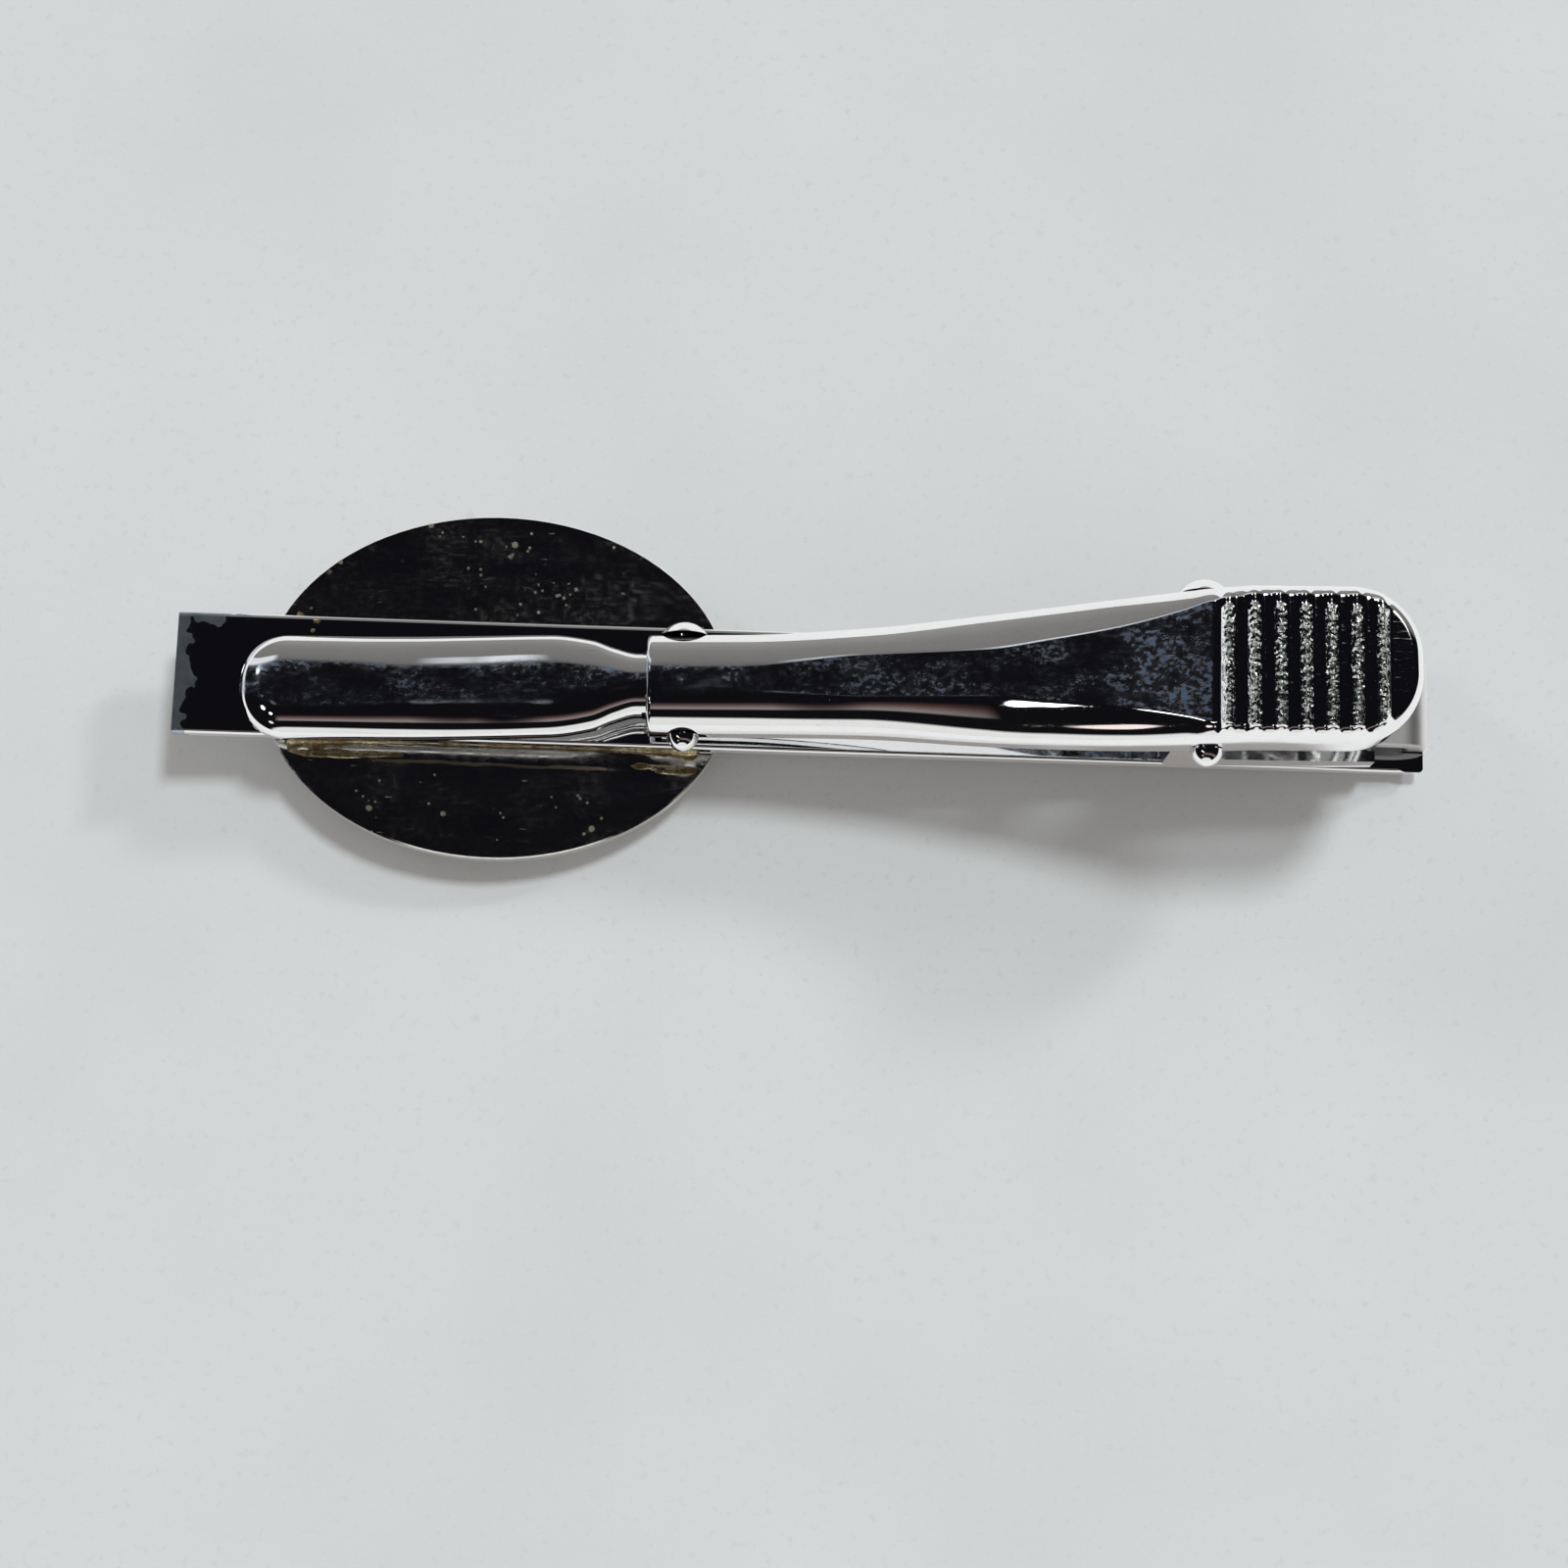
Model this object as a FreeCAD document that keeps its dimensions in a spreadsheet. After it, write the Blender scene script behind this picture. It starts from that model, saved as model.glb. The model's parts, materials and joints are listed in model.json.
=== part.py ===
import FreeCAD, Part

import math
import os

import Sketcher

# Sprung tie clip, lying on its front. X runs along the strip towards the thumb pad, Y across it,
# Z up from the front to the back. The origin is the middle of the oval's front face. Millimetres.

SIZES = [
    ("bar_length", 55.6, "strip, from its square end to the fold"),
    ("bar_width", 5.5, "strip"),
    ("bar_thickness", 0.85, "strip"),
    ("bar_left_reach", 14.19, "oval's middle to the strip's square end"),
    ("bar_edge_round", 0.2, "rounding of the strip's long edges"),
    ("fold_height", 2.6, "outside height of the folded end"),
    ("fold_length", 2.4, "upper leaf of the folded end"),
    ("fold_width", 3.7, "tab that is folded up from the strip's end"),
    ("oval_length", 20.9, "oval plate"),
    ("oval_width", 15.7, "oval plate"),
    ("oval_thickness", 1.35, "oval plate"),
    ("oval_back_bevel", 0.06, "bevel round the oval's back"),
    ("oval_front_bevel", 0.6, "bevel round the oval's front"),
    ("solder_leg", 0.3, "leg of the solder seam's triangular section"),
    ("solder_length", 1.6, "each solder seam"),
    ("base_end_gap", 0.15, "hinge base to the folded end"),
    ("base_sheet", 0.5, "sheet of the hinge base"),
    ("rail_height", 1.3, "low side walls of the hinge base"),
    ("ear_width", 2.0, "ears of the hinge base"),
    ("ear_play", 0.175, "each ear to the lever's side"),
    ("pivot_inset", 10.8, "strip's folded end to the lever's hinge pin"),
    ("pivot_drop", 2.6, "lever's crown at the pad down to its hinge pin"),
    ("hinge_skew", 1.0, "degrees that the hinge and all it carries are turned about the upright axis"),
    ("lever_pin_diameter", 1.0, "shank of the lever's hinge pin"),
    ("tongue_pin_diameter", 0.7, "shank of the tongue's hinge pin"),
    ("head_diameter", 2.1, "domed head of each pin"),
    ("head_height", 0.6, "domed head of each pin"),
    ("tail_diameter", 1.4, "riveted tail of each pin"),
    ("tail_height", 0.7, "riveted tail of each pin"),
    ("pin_clearance", 0.03, "radial play of a pin in its holes, and of its heads on the lever"),
    ("lever_length", 32.7, "lever, end to end"),
    ("lever_front_arm", 23.8, "lever's hinge pin to its front end"),
    ("lever_sheet", 0.45, "sheet of the lever"),
    ("lever_front_width", 4.4, "lever at its front end"),
    ("lever_pad_width", 6.75, "lever at the thumb pad"),
    ("lever_front_height", 3.6, "strip's back to the lever's crown at its front end"),
    ("lever_pad_height", 8.9, "strip's back to the lever's crown at the pad"),
    ("lever_front_depth", 2.3, "crown to rim at the front end"),
    ("lever_pad_depth", 2.7, "crown to rim at the pad"),
    ("pad_corner", 3.0, "round corners of the pad's end, in plan"),
    ("pad_end_drop", 1.2, "fall of the crown round the pad's end"),
    ("rib_count", 7, "ribs across the thumb pad"),
    ("rib_pitch", 1.07, "rib to rib"),
    ("rib_width", 0.5, "each rib along the lever"),
    ("rib_height", 0.25, "each rib above the crown"),
    ("first_rib_offset", 0.6, "lever's hinge pin to the first rib"),
    ("tongue_pin_inset", 1.6, "lever's front end to the tongue's hinge pin"),
    ("tongue_pin_drop", 1.5, "lever's crown at its front end down to the tongue's hinge pin"),
    ("neck_inset", 1.0, "tongue's hinge pin to the end of its neck"),
    ("tongue_length", 18.6, "tongue's shell, tip to the end of its neck"),
    ("tongue_sheet", 0.35, "sheet of the tongue"),
    ("tongue_width", 4.65, "tongue's blade"),
    ("tongue_height", 1.6, "strip's back to the blade's crown"),
    ("neck_play", 0.35, "each side of the neck to the lever's side"),
    ("neck_headroom", 0.2, "neck's crown to the lever's underside"),
    ("neck_rim_step", 0.2, "lever's rim up to the neck's rim"),
    ("tip_corner", 2.1, "round corners of the tongue's tip, in plan"),
    ("tip_drop", 0.55, "fall of the crown round the tip"),
    ("jaw_rest_gap", 0.1, "strip's back to the closed tongue's rim"),
    ("lug_radius", 0.62, "lugs of the tongue round its pin"),
    ("lug_overlap", 0.8, "how far the lugs run into the neck"),
    ("spring_sheet", 0.25, "lever's leaf spring"),
    ("spring_width", 3.0, "lever's leaf spring"),
    ("spring_bend", 0.7, "outside radius of the spring's bend"),
    ("spring_start", 1.6, "lever's hinge pin to the bend's middle"),
    ("spring_end_inset", 2.05, "flat leg's end to the end of the hinge base"),
    ("spring_gap", 0.15, "free leg's tip to the lever's underside"),
    ("spring_tip_reach", 5.9, "lever's hinge pin to the free leg's tip"),
    ("spring_rivet_offset", 2.7, "bend's middle to the spring's rivet"),
    ("rivet_diameter", 0.8, "shank of the spring's rivet"),
    ("rivet_head_diameter", 1.6, "head of the spring's rivet"),
    ("rivet_head_height", 0.35, "head of the spring's rivet"),
    ("rivet_clearance", 0.02, "radial play of the spring's rivet"),
    ("leaf_sheet", 0.12, "tongue's leaf spring"),
    ("leaf_width", 0.9, "tongue's leaf spring"),
    ("leaf_length", 6.0, "tongue's leaf spring"),
    ("leaf_front_gap", 0.03, "leaf's front end above the neck's crown"),
    ("cut_overrun", 1.0, "how far cutting shapes pass the face they cut"),
]

# Lever, one row for each place from its front end to the pad's end: place along the lever, then width,
# height and depth on the way from the front's to the pad's, then the flat crown as a share of the half
# width and the shoulder as a share of the depth.
LEVER_SHARES = [
    (0.000, 0.000, 0.000, 0.00, 0.12, 0.62),
    (0.138, 0.020, 0.047, 0.00, 0.22, 0.62),
    (0.290, 0.160, 0.198, 0.00, 0.38, 0.62),
    (0.445, 0.520, 0.368, 0.00, 0.36, 0.60),
    (0.530, 0.700, 0.500, 0.08, 0.44, 0.57),
    (0.618, 0.860, 0.660, 0.25, 0.54, 0.52),
    (0.725, 0.985, 0.887, 1.15, 0.77, 0.40),
    (0.794, 1.000, 0.987, 1.05, 0.82, 0.40),
    (1.000, 1.000, 1.000, 1.00, 0.82, 0.40),
]

# Tongue, the same from its neck's end to its tip: place from the neck's end, then width, height and rim
# lift on the way from the blade's to the neck's, flat crown and shoulder.
TONGUE_SHARES = [
    (0.000, 1.00, 1.00, 1.00, 0.12, 0.60),
    (0.054, 1.00, 0.97, 0.97, 0.12, 0.60),
    (0.110, 0.72, 0.90, 0.93, 0.12, 0.62),
    (0.165, 0.32, 0.82, 0.88, 0.12, 0.64),
    (0.260, 0.06, 0.70, 0.77, 0.12, 0.66),
    (0.435, 0.02, 0.36, 0.40, 0.12, 0.66),
    (0.600, 0.00, 0.10, 0.10, 0.12, 0.66),
    (0.750, 0.00, 0.00, 0.00, 0.12, 0.66),
    (1.000, 0.00, 0.00, 0.00, 0.12, 0.66),
]

# Sections along a channel, and round each of its rounded ends.
CHANNEL_SECTIONS = 22
CORNER_SECTIONS = 6
ROUND_SHARE = math.sqrt(0.5)
LEAF_RISE_SHARE = 0.69
CLOSE_SHARE = 0.001

# How late the crown falls towards a channel's closed end: 1 is a round fall, more is later.
END_POWER = 2

doc = FreeCAD.newDocument("tie_clip")
sheet = doc.addObject("Spreadsheet::Sheet", "sizes")
for row, (alias, value, note) in enumerate(SIZES, start=1):
    sheet.set(f"A{row}", alias)
    sheet.set(f"B{row}", str(value))
    sheet.setAlias(f"B{row}", alias)
    sheet.set(f"C{row}", note)
doc.recompute()

# Places and fits that follow from the sizes. Reaches are measured from the oval's middle, heights from
# the strip's back.
BACK = "(sizes.oval_thickness + sizes.bar_thickness)"
BAR_END = "(sizes.bar_length - sizes.bar_left_reach)"
PIVOT_REACH = f"({BAR_END} - sizes.pivot_inset)"
PIVOT_HEIGHT = "(sizes.lever_pad_height - sizes.pivot_drop)"
BASE_LENGTH = "(sizes.pivot_inset + sizes.ear_width / 2 - sizes.fold_length - sizes.base_end_gap)"
BASE_WIDTH = "(sizes.lever_pad_width - 2 * sizes.lever_sheet - 2 * sizes.ear_play)"
SPRING_LEG = f"({BASE_LENGTH} - sizes.ear_width / 2 - sizes.spring_start - sizes.spring_end_inset)"
TONGUE_PIN_OFFSET = "(sizes.tongue_pin_inset - sizes.lever_front_arm)"
TONGUE_PIN_HEIGHT = "(sizes.lever_front_height - sizes.tongue_pin_drop)"
NECK_WIDTH = "(sizes.lever_front_width - 2 * sizes.lever_sheet - 2 * sizes.neck_play)"
NECK_HEIGHT = "(sizes.lever_front_height - sizes.lever_sheet - sizes.neck_headroom)"
NECK_LIFT = "(sizes.lever_front_height - sizes.lever_front_depth + sizes.neck_rim_step)"

sub_parts = []


def worked(expression):
    """Value of an expression in the named sizes."""
    return float(sheet.evalExpression(expression))


def size(alias):
    """Value of one named size."""
    return worked("sizes." + alias)


def back_height(height=0.0):
    """Height in the clip's frame of a point that far above the strip's back."""
    return worked(BACK) + height


def between(first, last, share):
    """Value that lies the given share of the way from first to last."""
    return first + (last - first) * share


def row_slopes(rows, column):
    """Slopes of one column of a table at its rows, flat at each crest, so that a curve through the rows
    never swings past them."""
    steps = []
    for first, last in zip(rows, rows[1:]):
        steps.append((last[column] - first[column]) / (last[0] - first[0]))
    slopes = [steps[0]]
    for before, after in zip(steps, steps[1:]):
        turns = before * after <= 0
        slopes.append(0.0 if turns else 2 * before * after / (before + after))
    return slopes + [steps[-1]]


def row_at(rows, along):
    """Row of a table at any place between its first and last rows, on smooth curves through them."""
    index = 0
    while index < len(rows) - 2 and along > rows[index + 1][0]:
        index += 1
    first, last = rows[index], rows[index + 1]
    span = last[0] - first[0]
    part = (along - first[0]) / span
    values = [along]
    for column in range(1, len(first)):
        slopes = row_slopes(rows, column)
        lead = first[column] + slopes[index] * span / 3
        trail = last[column] - slopes[index + 1] * span / 3
        rest = 1 - part
        values.append(rest ** 3 * first[column] + 3 * rest ** 2 * part * lead
                      + 3 * rest * part ** 2 * trail + part ** 3 * last[column])
    return tuple(values)


def even_rows(rows, end):
    """Rows at even steps from the table's first place to the given end place."""
    start = rows[0][0]
    places = [between(start, end, step / CHANNEL_SECTIONS) for step in range(CHANNEL_SECTIONS + 1)]
    return [row_at(rows, place) for place in places]


def keep(item, label):
    """Note an object of the document as one of the clip's sub-parts."""
    item.Label = label
    sub_parts.append(item)
    return item


def new_body(label):
    body = doc.addObject("PartDesign::Body", label)
    return keep(body, label)


def new_sketch(body, name, plane_role):
    """Sketch on one of the body's own origin planes."""
    sketch = body.newObject("Sketcher::SketchObject", name)
    planes = [item for item in body.Origin.OriginFeatures if item.Role == plane_role]
    sketch.AttachmentSupport = (planes[0], [""])
    sketch.MapMode = "FlatFace"
    return sketch


def tie_point(sketch, edge, end, across, up):
    """Bind a point of a sketch to two expressions measured from the sketch's origin."""
    for kind, expression, axis in (("DistanceX", across, -2), ("DistanceY", up, -1)):
        if expression == "0":
            sketch.addConstraint(Sketcher.Constraint("PointOnObject", edge, end, axis))
            continue
        value = float(sketch.evalExpression(expression))
        index = sketch.addConstraint(Sketcher.Constraint(kind, -1, 1, edge, end, value))
        sketch.setExpression(f"Constraints[{index}]", expression)


def draw_outline(sketch, corners):
    """Closed outline through corners given as pairs of expressions. A corner with a third entry, 1 to
    swing right and -1 to swing left, is reached by a half circle along the sketch's axes."""
    points = []
    for corner in corners:
        across = float(sketch.evalExpression(corner[0]))
        up = float(sketch.evalExpression(corner[1]))
        points.append(FreeCAD.Vector(across, up, 0))
    count = len(corners)
    for index in range(count):
        start = points[index]
        end = points[(index + 1) % count]
        swing = corners[(index + 1) % count][2:]
        if swing:
            middle = (start + end) / 2
            bulge = (end - start).cross(FreeCAD.Vector(0, 0, swing[0])) / 2
            first, last = (start, end) if swing[0] > 0 else (end, start)
            edge = Part.Arc(first, middle + bulge, last)
        else:
            edge = Part.LineSegment(start, end)
        sketch.addGeometry(edge, False)
    for index in range(count):
        following = (index + 1) % count
        ends = outline_ends(sketch, index, points[index])
        starts = outline_ends(sketch, following, points[following])
        sketch.addConstraint(Sketcher.Constraint("Coincident", index, ends[1], following, starts[0]))
        tie_point(sketch, index, ends[0], corners[index][0], corners[index][1])
        if corners[following][2:]:
            upright = abs(points[following].x - points[index].x) < abs(points[following].y - points[index].y)
            chord = "Vertical" if upright else "Horizontal"
            sketch.addConstraint(Sketcher.Constraint(chord, index, ends[0], index, 3))


def outline_ends(sketch, index, start):
    """Numbers of an edge's first and last point, in the order in which the outline runs."""
    first = sketch.Geometry[index].StartPoint
    if first.distanceToPoint(start) < CLOSE_SHARE * size("bar_thickness"):
        return 1, 2
    return 2, 1


def pad(body, sketch, length, both_ways=True):
    feature = body.newObject("PartDesign::Pad", sketch.Name + "_pad")
    feature.Profile = sketch
    feature.setExpression("Length", length)
    feature.Midplane = both_ways
    doc.recompute()
    return feature


def cut_through(body, sketch):
    """Cut a sketch through the whole body, both ways, and check that it took something away."""
    before = body.Shape.Volume
    feature = body.newObject("PartDesign::Pocket", sketch.Name + "_cut")
    feature.Profile = sketch
    feature.Type = "ThroughAll"
    feature.Midplane = True
    doc.recompute()
    if body.Shape.Volume >= before:
        raise RuntimeError(sketch.Name + " cuts nothing")
    return feature


def draw_circle(sketch, diameter, across, up):
    """Circle whose size and middle are bound to expressions."""
    radius = float(sketch.evalExpression(diameter)) / 2
    sketch.addGeometry(Part.Circle(FreeCAD.Vector(0, 0, 0), FreeCAD.Vector(0, 0, 1), radius), False)
    index = sketch.addConstraint(Sketcher.Constraint("Diameter", 0, 2 * radius))
    sketch.setExpression(f"Constraints[{index}]", diameter)
    tie_point(sketch, 0, 3, across, up)


def place_askew(item, offset, up):
    """Bind the place of a sub-part that turns with the hinge, by its distance along the lever from the
    lever's hinge pin and its height in the clip's frame."""
    turn = "sizes.hinge_skew * 1 deg"
    item.setExpression("Placement.Base.x", f"{PIVOT_REACH} + ({offset}) * cos({turn})")
    item.setExpression("Placement.Base.y", f"({offset}) * sin({turn})")
    item.setExpression("Placement.Base.z", up)
    item.setExpression("Placement.Rotation.Angle", turn)


def turn_askew(item):
    """Turn a sub-part that is drawn straight, about the upright axis through the lever's hinge pin."""
    turn = FreeCAD.Rotation(FreeCAD.Vector(0, 0, 1), size("hinge_skew"))
    item.Placement = FreeCAD.Placement(FreeCAD.Vector(), turn, FreeCAD.Vector(worked(PIVOT_REACH), 0, 0))


def make_front_bar():
    body = new_body("front_bar")
    profile = new_sketch(body, "bar_profile", "XZ_Plane")
    bend = f"{BAR_END} - sizes.fold_height / 2"
    leaf = f"{BAR_END} - sizes.fold_length"
    draw_outline(profile, [
        ("-sizes.bar_left_reach", "0"),
        (bend, "0"),
        (bend, "sizes.fold_height", 1),
        (leaf, "sizes.fold_height"),
        (leaf, "sizes.fold_height - sizes.bar_thickness"),
        (bend, "sizes.fold_height - sizes.bar_thickness"),
        (bend, "sizes.bar_thickness", -1),
        ("-sizes.bar_left_reach", "sizes.bar_thickness"),
    ])
    strip = pad(body, profile, "sizes.bar_width")
    edges = []
    for number, edge in enumerate(strip.Shape.Edges, start=1):
        if edge.Length > size("bar_length") / 2:
            edges.append(f"Edge{number}")
    rounding = body.newObject("PartDesign::Fillet", "bar_edges")
    rounding.Base = (strip, edges)
    rounding.setExpression("Radius", "sizes.bar_edge_round")
    doc.recompute()
    above = "sizes.fold_height + sizes.cut_overrun"
    for name, side in (("near", "-"), ("far", "")):
        notch = new_sketch(body, name + "_tab_side", "YZ_Plane")
        tab_side = f"{side}sizes.fold_width / 2"
        outside = f"{side}(sizes.bar_width / 2 + sizes.cut_overrun)"
        draw_outline(notch, [
            (tab_side, "sizes.bar_thickness"),
            (outside, "sizes.bar_thickness"),
            (outside, above),
            (tab_side, above),
        ])
        cut_through(body, notch)
    body.setExpression("Placement.Base.z", "sizes.oval_thickness")


def make_oval_plate():
    outline = doc.addObject("Part::Ellipse", "oval_outline")
    outline.setExpression("MajorRadius", "sizes.oval_length / 2")
    outline.setExpression("MinorRadius", "sizes.oval_width / 2")
    plate = doc.addObject("Part::Extrusion", "oval_blank")
    plate.Base = outline
    plate.DirMode = "Normal"
    plate.Solid = True
    plate.setExpression("LengthFwd", "sizes.oval_thickness")
    doc.recompute()
    rims = []
    for number, edge in enumerate(plate.Shape.Edges, start=1):
        if edge.isClosed():
            on_back = edge.BoundBox.ZMin > size("oval_thickness") / 2
            bevel = size("oval_back_bevel") if on_back else size("oval_front_bevel")
            rims.append((number, bevel, bevel))
    oval = doc.addObject("Part::Chamfer", "oval_plate")
    oval.Base = plate
    oval.Edges = rims
    keep(oval, "oval_plate")


def make_solder_seams():
    """Four short seams in the corners where the strip's sides leave the oval's back."""
    leg = size("solder_leg")
    length = size("solder_length")
    half_bar = size("bar_width") / 2
    half_chord = size("oval_length") / 2 * math.sqrt(1 - (2 * half_bar / size("oval_width")) ** 2)
    seam_end = half_chord - size("oval_back_bevel") - leg
    seams = []
    for side in (-1, 1):
        for end in (-1, 1):
            start = seam_end - length if end > 0 else -seam_end
            corner = FreeCAD.Vector(start, side * half_bar, size("oval_thickness"))
            out = corner + FreeCAD.Vector(0, side * leg, 0)
            up = corner + FreeCAD.Vector(0, 0, leg)
            section = Part.Face(Part.makePolygon([corner, out, up, corner]))
            seams.append(section.extrude(FreeCAD.Vector(length, 0, 0)))
    solder = doc.addObject("Part::Feature", "solder_seams")
    solder.Shape = Part.makeCompound(seams)
    solder.Placement = FreeCAD.Placement()
    keep(solder, "solder_seams")


def make_hinge_base():
    body = new_body("hinge_base")
    side = new_sketch(body, "base_side", "XZ_Plane")
    draw_outline(side, [
        ("-sizes.ear_width / 2", "0"),
        (f"{BASE_LENGTH} - sizes.ear_width / 2", "0"),
        (f"{BASE_LENGTH} - sizes.ear_width / 2", "sizes.rail_height"),
        ("sizes.ear_width / 2", "sizes.rail_height"),
        ("sizes.ear_width / 2", PIVOT_HEIGHT),
        ("-sizes.ear_width / 2", PIVOT_HEIGHT, 1),
    ])
    pad(body, side, BASE_WIDTH)
    inside = f"({BASE_WIDTH} / 2 - sizes.base_sheet)"
    top = f"{PIVOT_HEIGHT} + sizes.ear_width / 2 + sizes.cut_overrun"
    channel = new_sketch(body, "base_channel", "YZ_Plane")
    draw_outline(channel, [
        ("-" + inside, "sizes.base_sheet"),
        (inside, "sizes.base_sheet"),
        (inside, top),
        ("-" + inside, top),
    ])
    cut_through(body, channel)
    pin_hole = new_sketch(body, "base_pin_hole", "XZ_Plane")
    draw_circle(pin_hole, "sizes.lever_pin_diameter + 2 * sizes.pin_clearance", "0", PIVOT_HEIGHT)
    cut_through(body, pin_hole)
    rivet_hole = new_sketch(body, "base_rivet_hole", "XY_Plane")
    draw_circle(rivet_hole, "sizes.rivet_diameter + 2 * sizes.rivet_clearance",
                "sizes.spring_start + sizes.spring_rivet_offset", "0")
    cut_through(body, rivet_hole)
    place_askew(body, "0", BACK)


def add_pin_end(body, name, side, grip, diameter, height):
    """Dome on one end of a pin's grip, side 1 for the far end and -1 for the near one."""
    sketch = new_sketch(body, name, "XY_Plane")
    sign = "" if side > 0 else "-"
    rim = f"{diameter} / 2"
    foot = f"{sign}({grip}) / 2"
    crown = f"{sign}(({grip}) / 2 + {height})"
    dome = f"({rim} * {rim} + {height} * {height}) / (2 * {height})"
    points = []
    for across, up in ((rim, foot), ("0", crown), ("0", foot)):
        points.append(FreeCAD.Vector(
            float(sketch.evalExpression(across)), float(sketch.evalExpression(up)), 0))
    dome_radius = float(sketch.evalExpression(dome))
    half_turn = math.atan2(points[0].x, dome_radius - points[1].distanceToPoint(points[2])) / 2
    fall = dome_radius * (1 - math.cos(half_turn))
    middle = FreeCAD.Vector(dome_radius * math.sin(half_turn), points[1].y - side * fall, 0)
    first, last = (points[0], points[1]) if side > 0 else (points[1], points[0])
    rim_end, crown_end = (1, 2) if side > 0 else (2, 1)
    sketch.addGeometry(Part.Arc(first, middle, last), False)
    sketch.addGeometry(Part.LineSegment(points[1], points[2]), False)
    sketch.addGeometry(Part.LineSegment(points[2], points[0]), False)
    sketch.addConstraint(Sketcher.Constraint("Coincident", 0, crown_end, 1, 1))
    sketch.addConstraint(Sketcher.Constraint("Coincident", 1, 2, 2, 1))
    sketch.addConstraint(Sketcher.Constraint("Coincident", 2, 2, 0, rim_end))
    tie_point(sketch, 0, rim_end, rim, foot)
    tie_point(sketch, 1, 1, "0", crown)
    tie_point(sketch, 2, 1, "0", foot)
    index = sketch.addConstraint(Sketcher.Constraint("Radius", 0, dome_radius))
    sketch.setExpression(f"Constraints[{index}]", dome)
    end = body.newObject("PartDesign::Revolution", name + "_dome")
    end.Profile = sketch
    end.ReferenceAxis = (sketch, ["V_Axis"])
    doc.recompute()


def make_pin(label, diameter, grip, offset, height):
    """Rivet pin across the clip, with a domed head at the far end of its grip and a tail at the near end."""
    body = new_body(label)
    shank = new_sketch(body, label + "_shank", "XZ_Plane")
    draw_circle(shank, diameter, "0", "0")
    pad(body, shank, grip)
    add_pin_end(body, label + "_head", 1, grip, "sizes.head_diameter", "sizes.head_height")
    add_pin_end(body, label + "_tail", -1, grip, "sizes.tail_diameter", "sizes.tail_height")
    place_askew(body, offset, f"{BACK} + {height}")


def arch_section(place_along, half_width, crown, rim, flat, shoulder):
    """Closed section of a domed channel across the clip, at one place along it."""
    turn = between(half_width, flat, 1 - ROUND_SHARE)
    bend = crown - shoulder * (1 - ROUND_SHARE)

    def point(across, up):
        return FreeCAD.Vector(place_along, across, up)

    low_left = point(-half_width, rim)
    side_left = point(-half_width, crown - shoulder)
    top_left = point(-flat, crown)
    top_right = point(flat, crown)
    side_right = point(half_width, crown - shoulder)
    low_right = point(half_width, rim)
    edges = [
        Part.LineSegment(low_left, side_left),
        Part.Arc(side_left, point(-turn, bend), top_left),
        Part.LineSegment(top_left, top_right),
        Part.Arc(top_right, point(turn, bend), side_right),
        Part.LineSegment(side_right, low_right),
        Part.LineSegment(low_right, low_left),
    ]
    return Part.Wire([edge.toShape() for edge in edges])


def channel_loft(stations, corner, end_drop, direction, inset, rim_drop):
    """Solid through the stations and then round the closed end. Stations are (place, half width, crown,
    rim, flat, shoulder). The inset shrinks it on all sides but the rim, which goes down by rim_drop."""
    sections = []
    for along, half_width, crown, rim, flat, shoulder in stations:
        sections.append(arch_section(
            along, half_width - inset, crown - inset, rim - rim_drop,
            flat * (half_width - inset) / half_width, shoulder - inset))
    along, half_width, crown, rim, flat, shoulder = stations[-1]
    for step in range(1, CORNER_SECTIONS + 1):
        turn = step / CORNER_SECTIONS * math.pi / 2
        narrowing = corner * (1 - math.cos(turn)) * (corner - inset) / corner
        end_half = half_width - inset - narrowing
        end_crown = crown - inset - end_drop * (1 - math.cos(turn)) ** END_POWER
        end_along = along + direction * (corner - inset) * math.sin(turn)
        end_flat = flat * end_half / half_width
        end_shoulder = (shoulder - inset) * (end_crown - rim) / (crown - inset - rim)
        sections.append(arch_section(
            end_along, end_half, end_crown, rim - rim_drop, end_flat, end_shoulder))
    return Part.makeLoft(sections, True, False)


def lever_stations(raise_by=0.0, narrow_by=0.0):
    """Sections of the lever from its front end to the start of the pad's rounded end. Raised and
    narrowed, they give the crests of the ribs, whose sides stay inside the lever's sheet."""
    stations = []
    end_share = 1 - size("pad_corner") / size("lever_length")
    for along, width, height, depth, flat, shoulder in even_rows(LEVER_SHARES, end_share):
        half_width = between(size("lever_front_width"), size("lever_pad_width"), width) / 2
        crown = back_height(between(size("lever_front_height"), size("lever_pad_height"), height))
        fall = between(size("lever_front_depth"), size("lever_pad_depth"), depth)
        place_along = worked(PIVOT_REACH) - size("lever_front_arm") + along * size("lever_length")
        stations.append((place_along, half_width - narrow_by, crown + raise_by, crown - fall,
                         flat * half_width - narrow_by, shoulder * fall + raise_by))
    return stations


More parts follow.
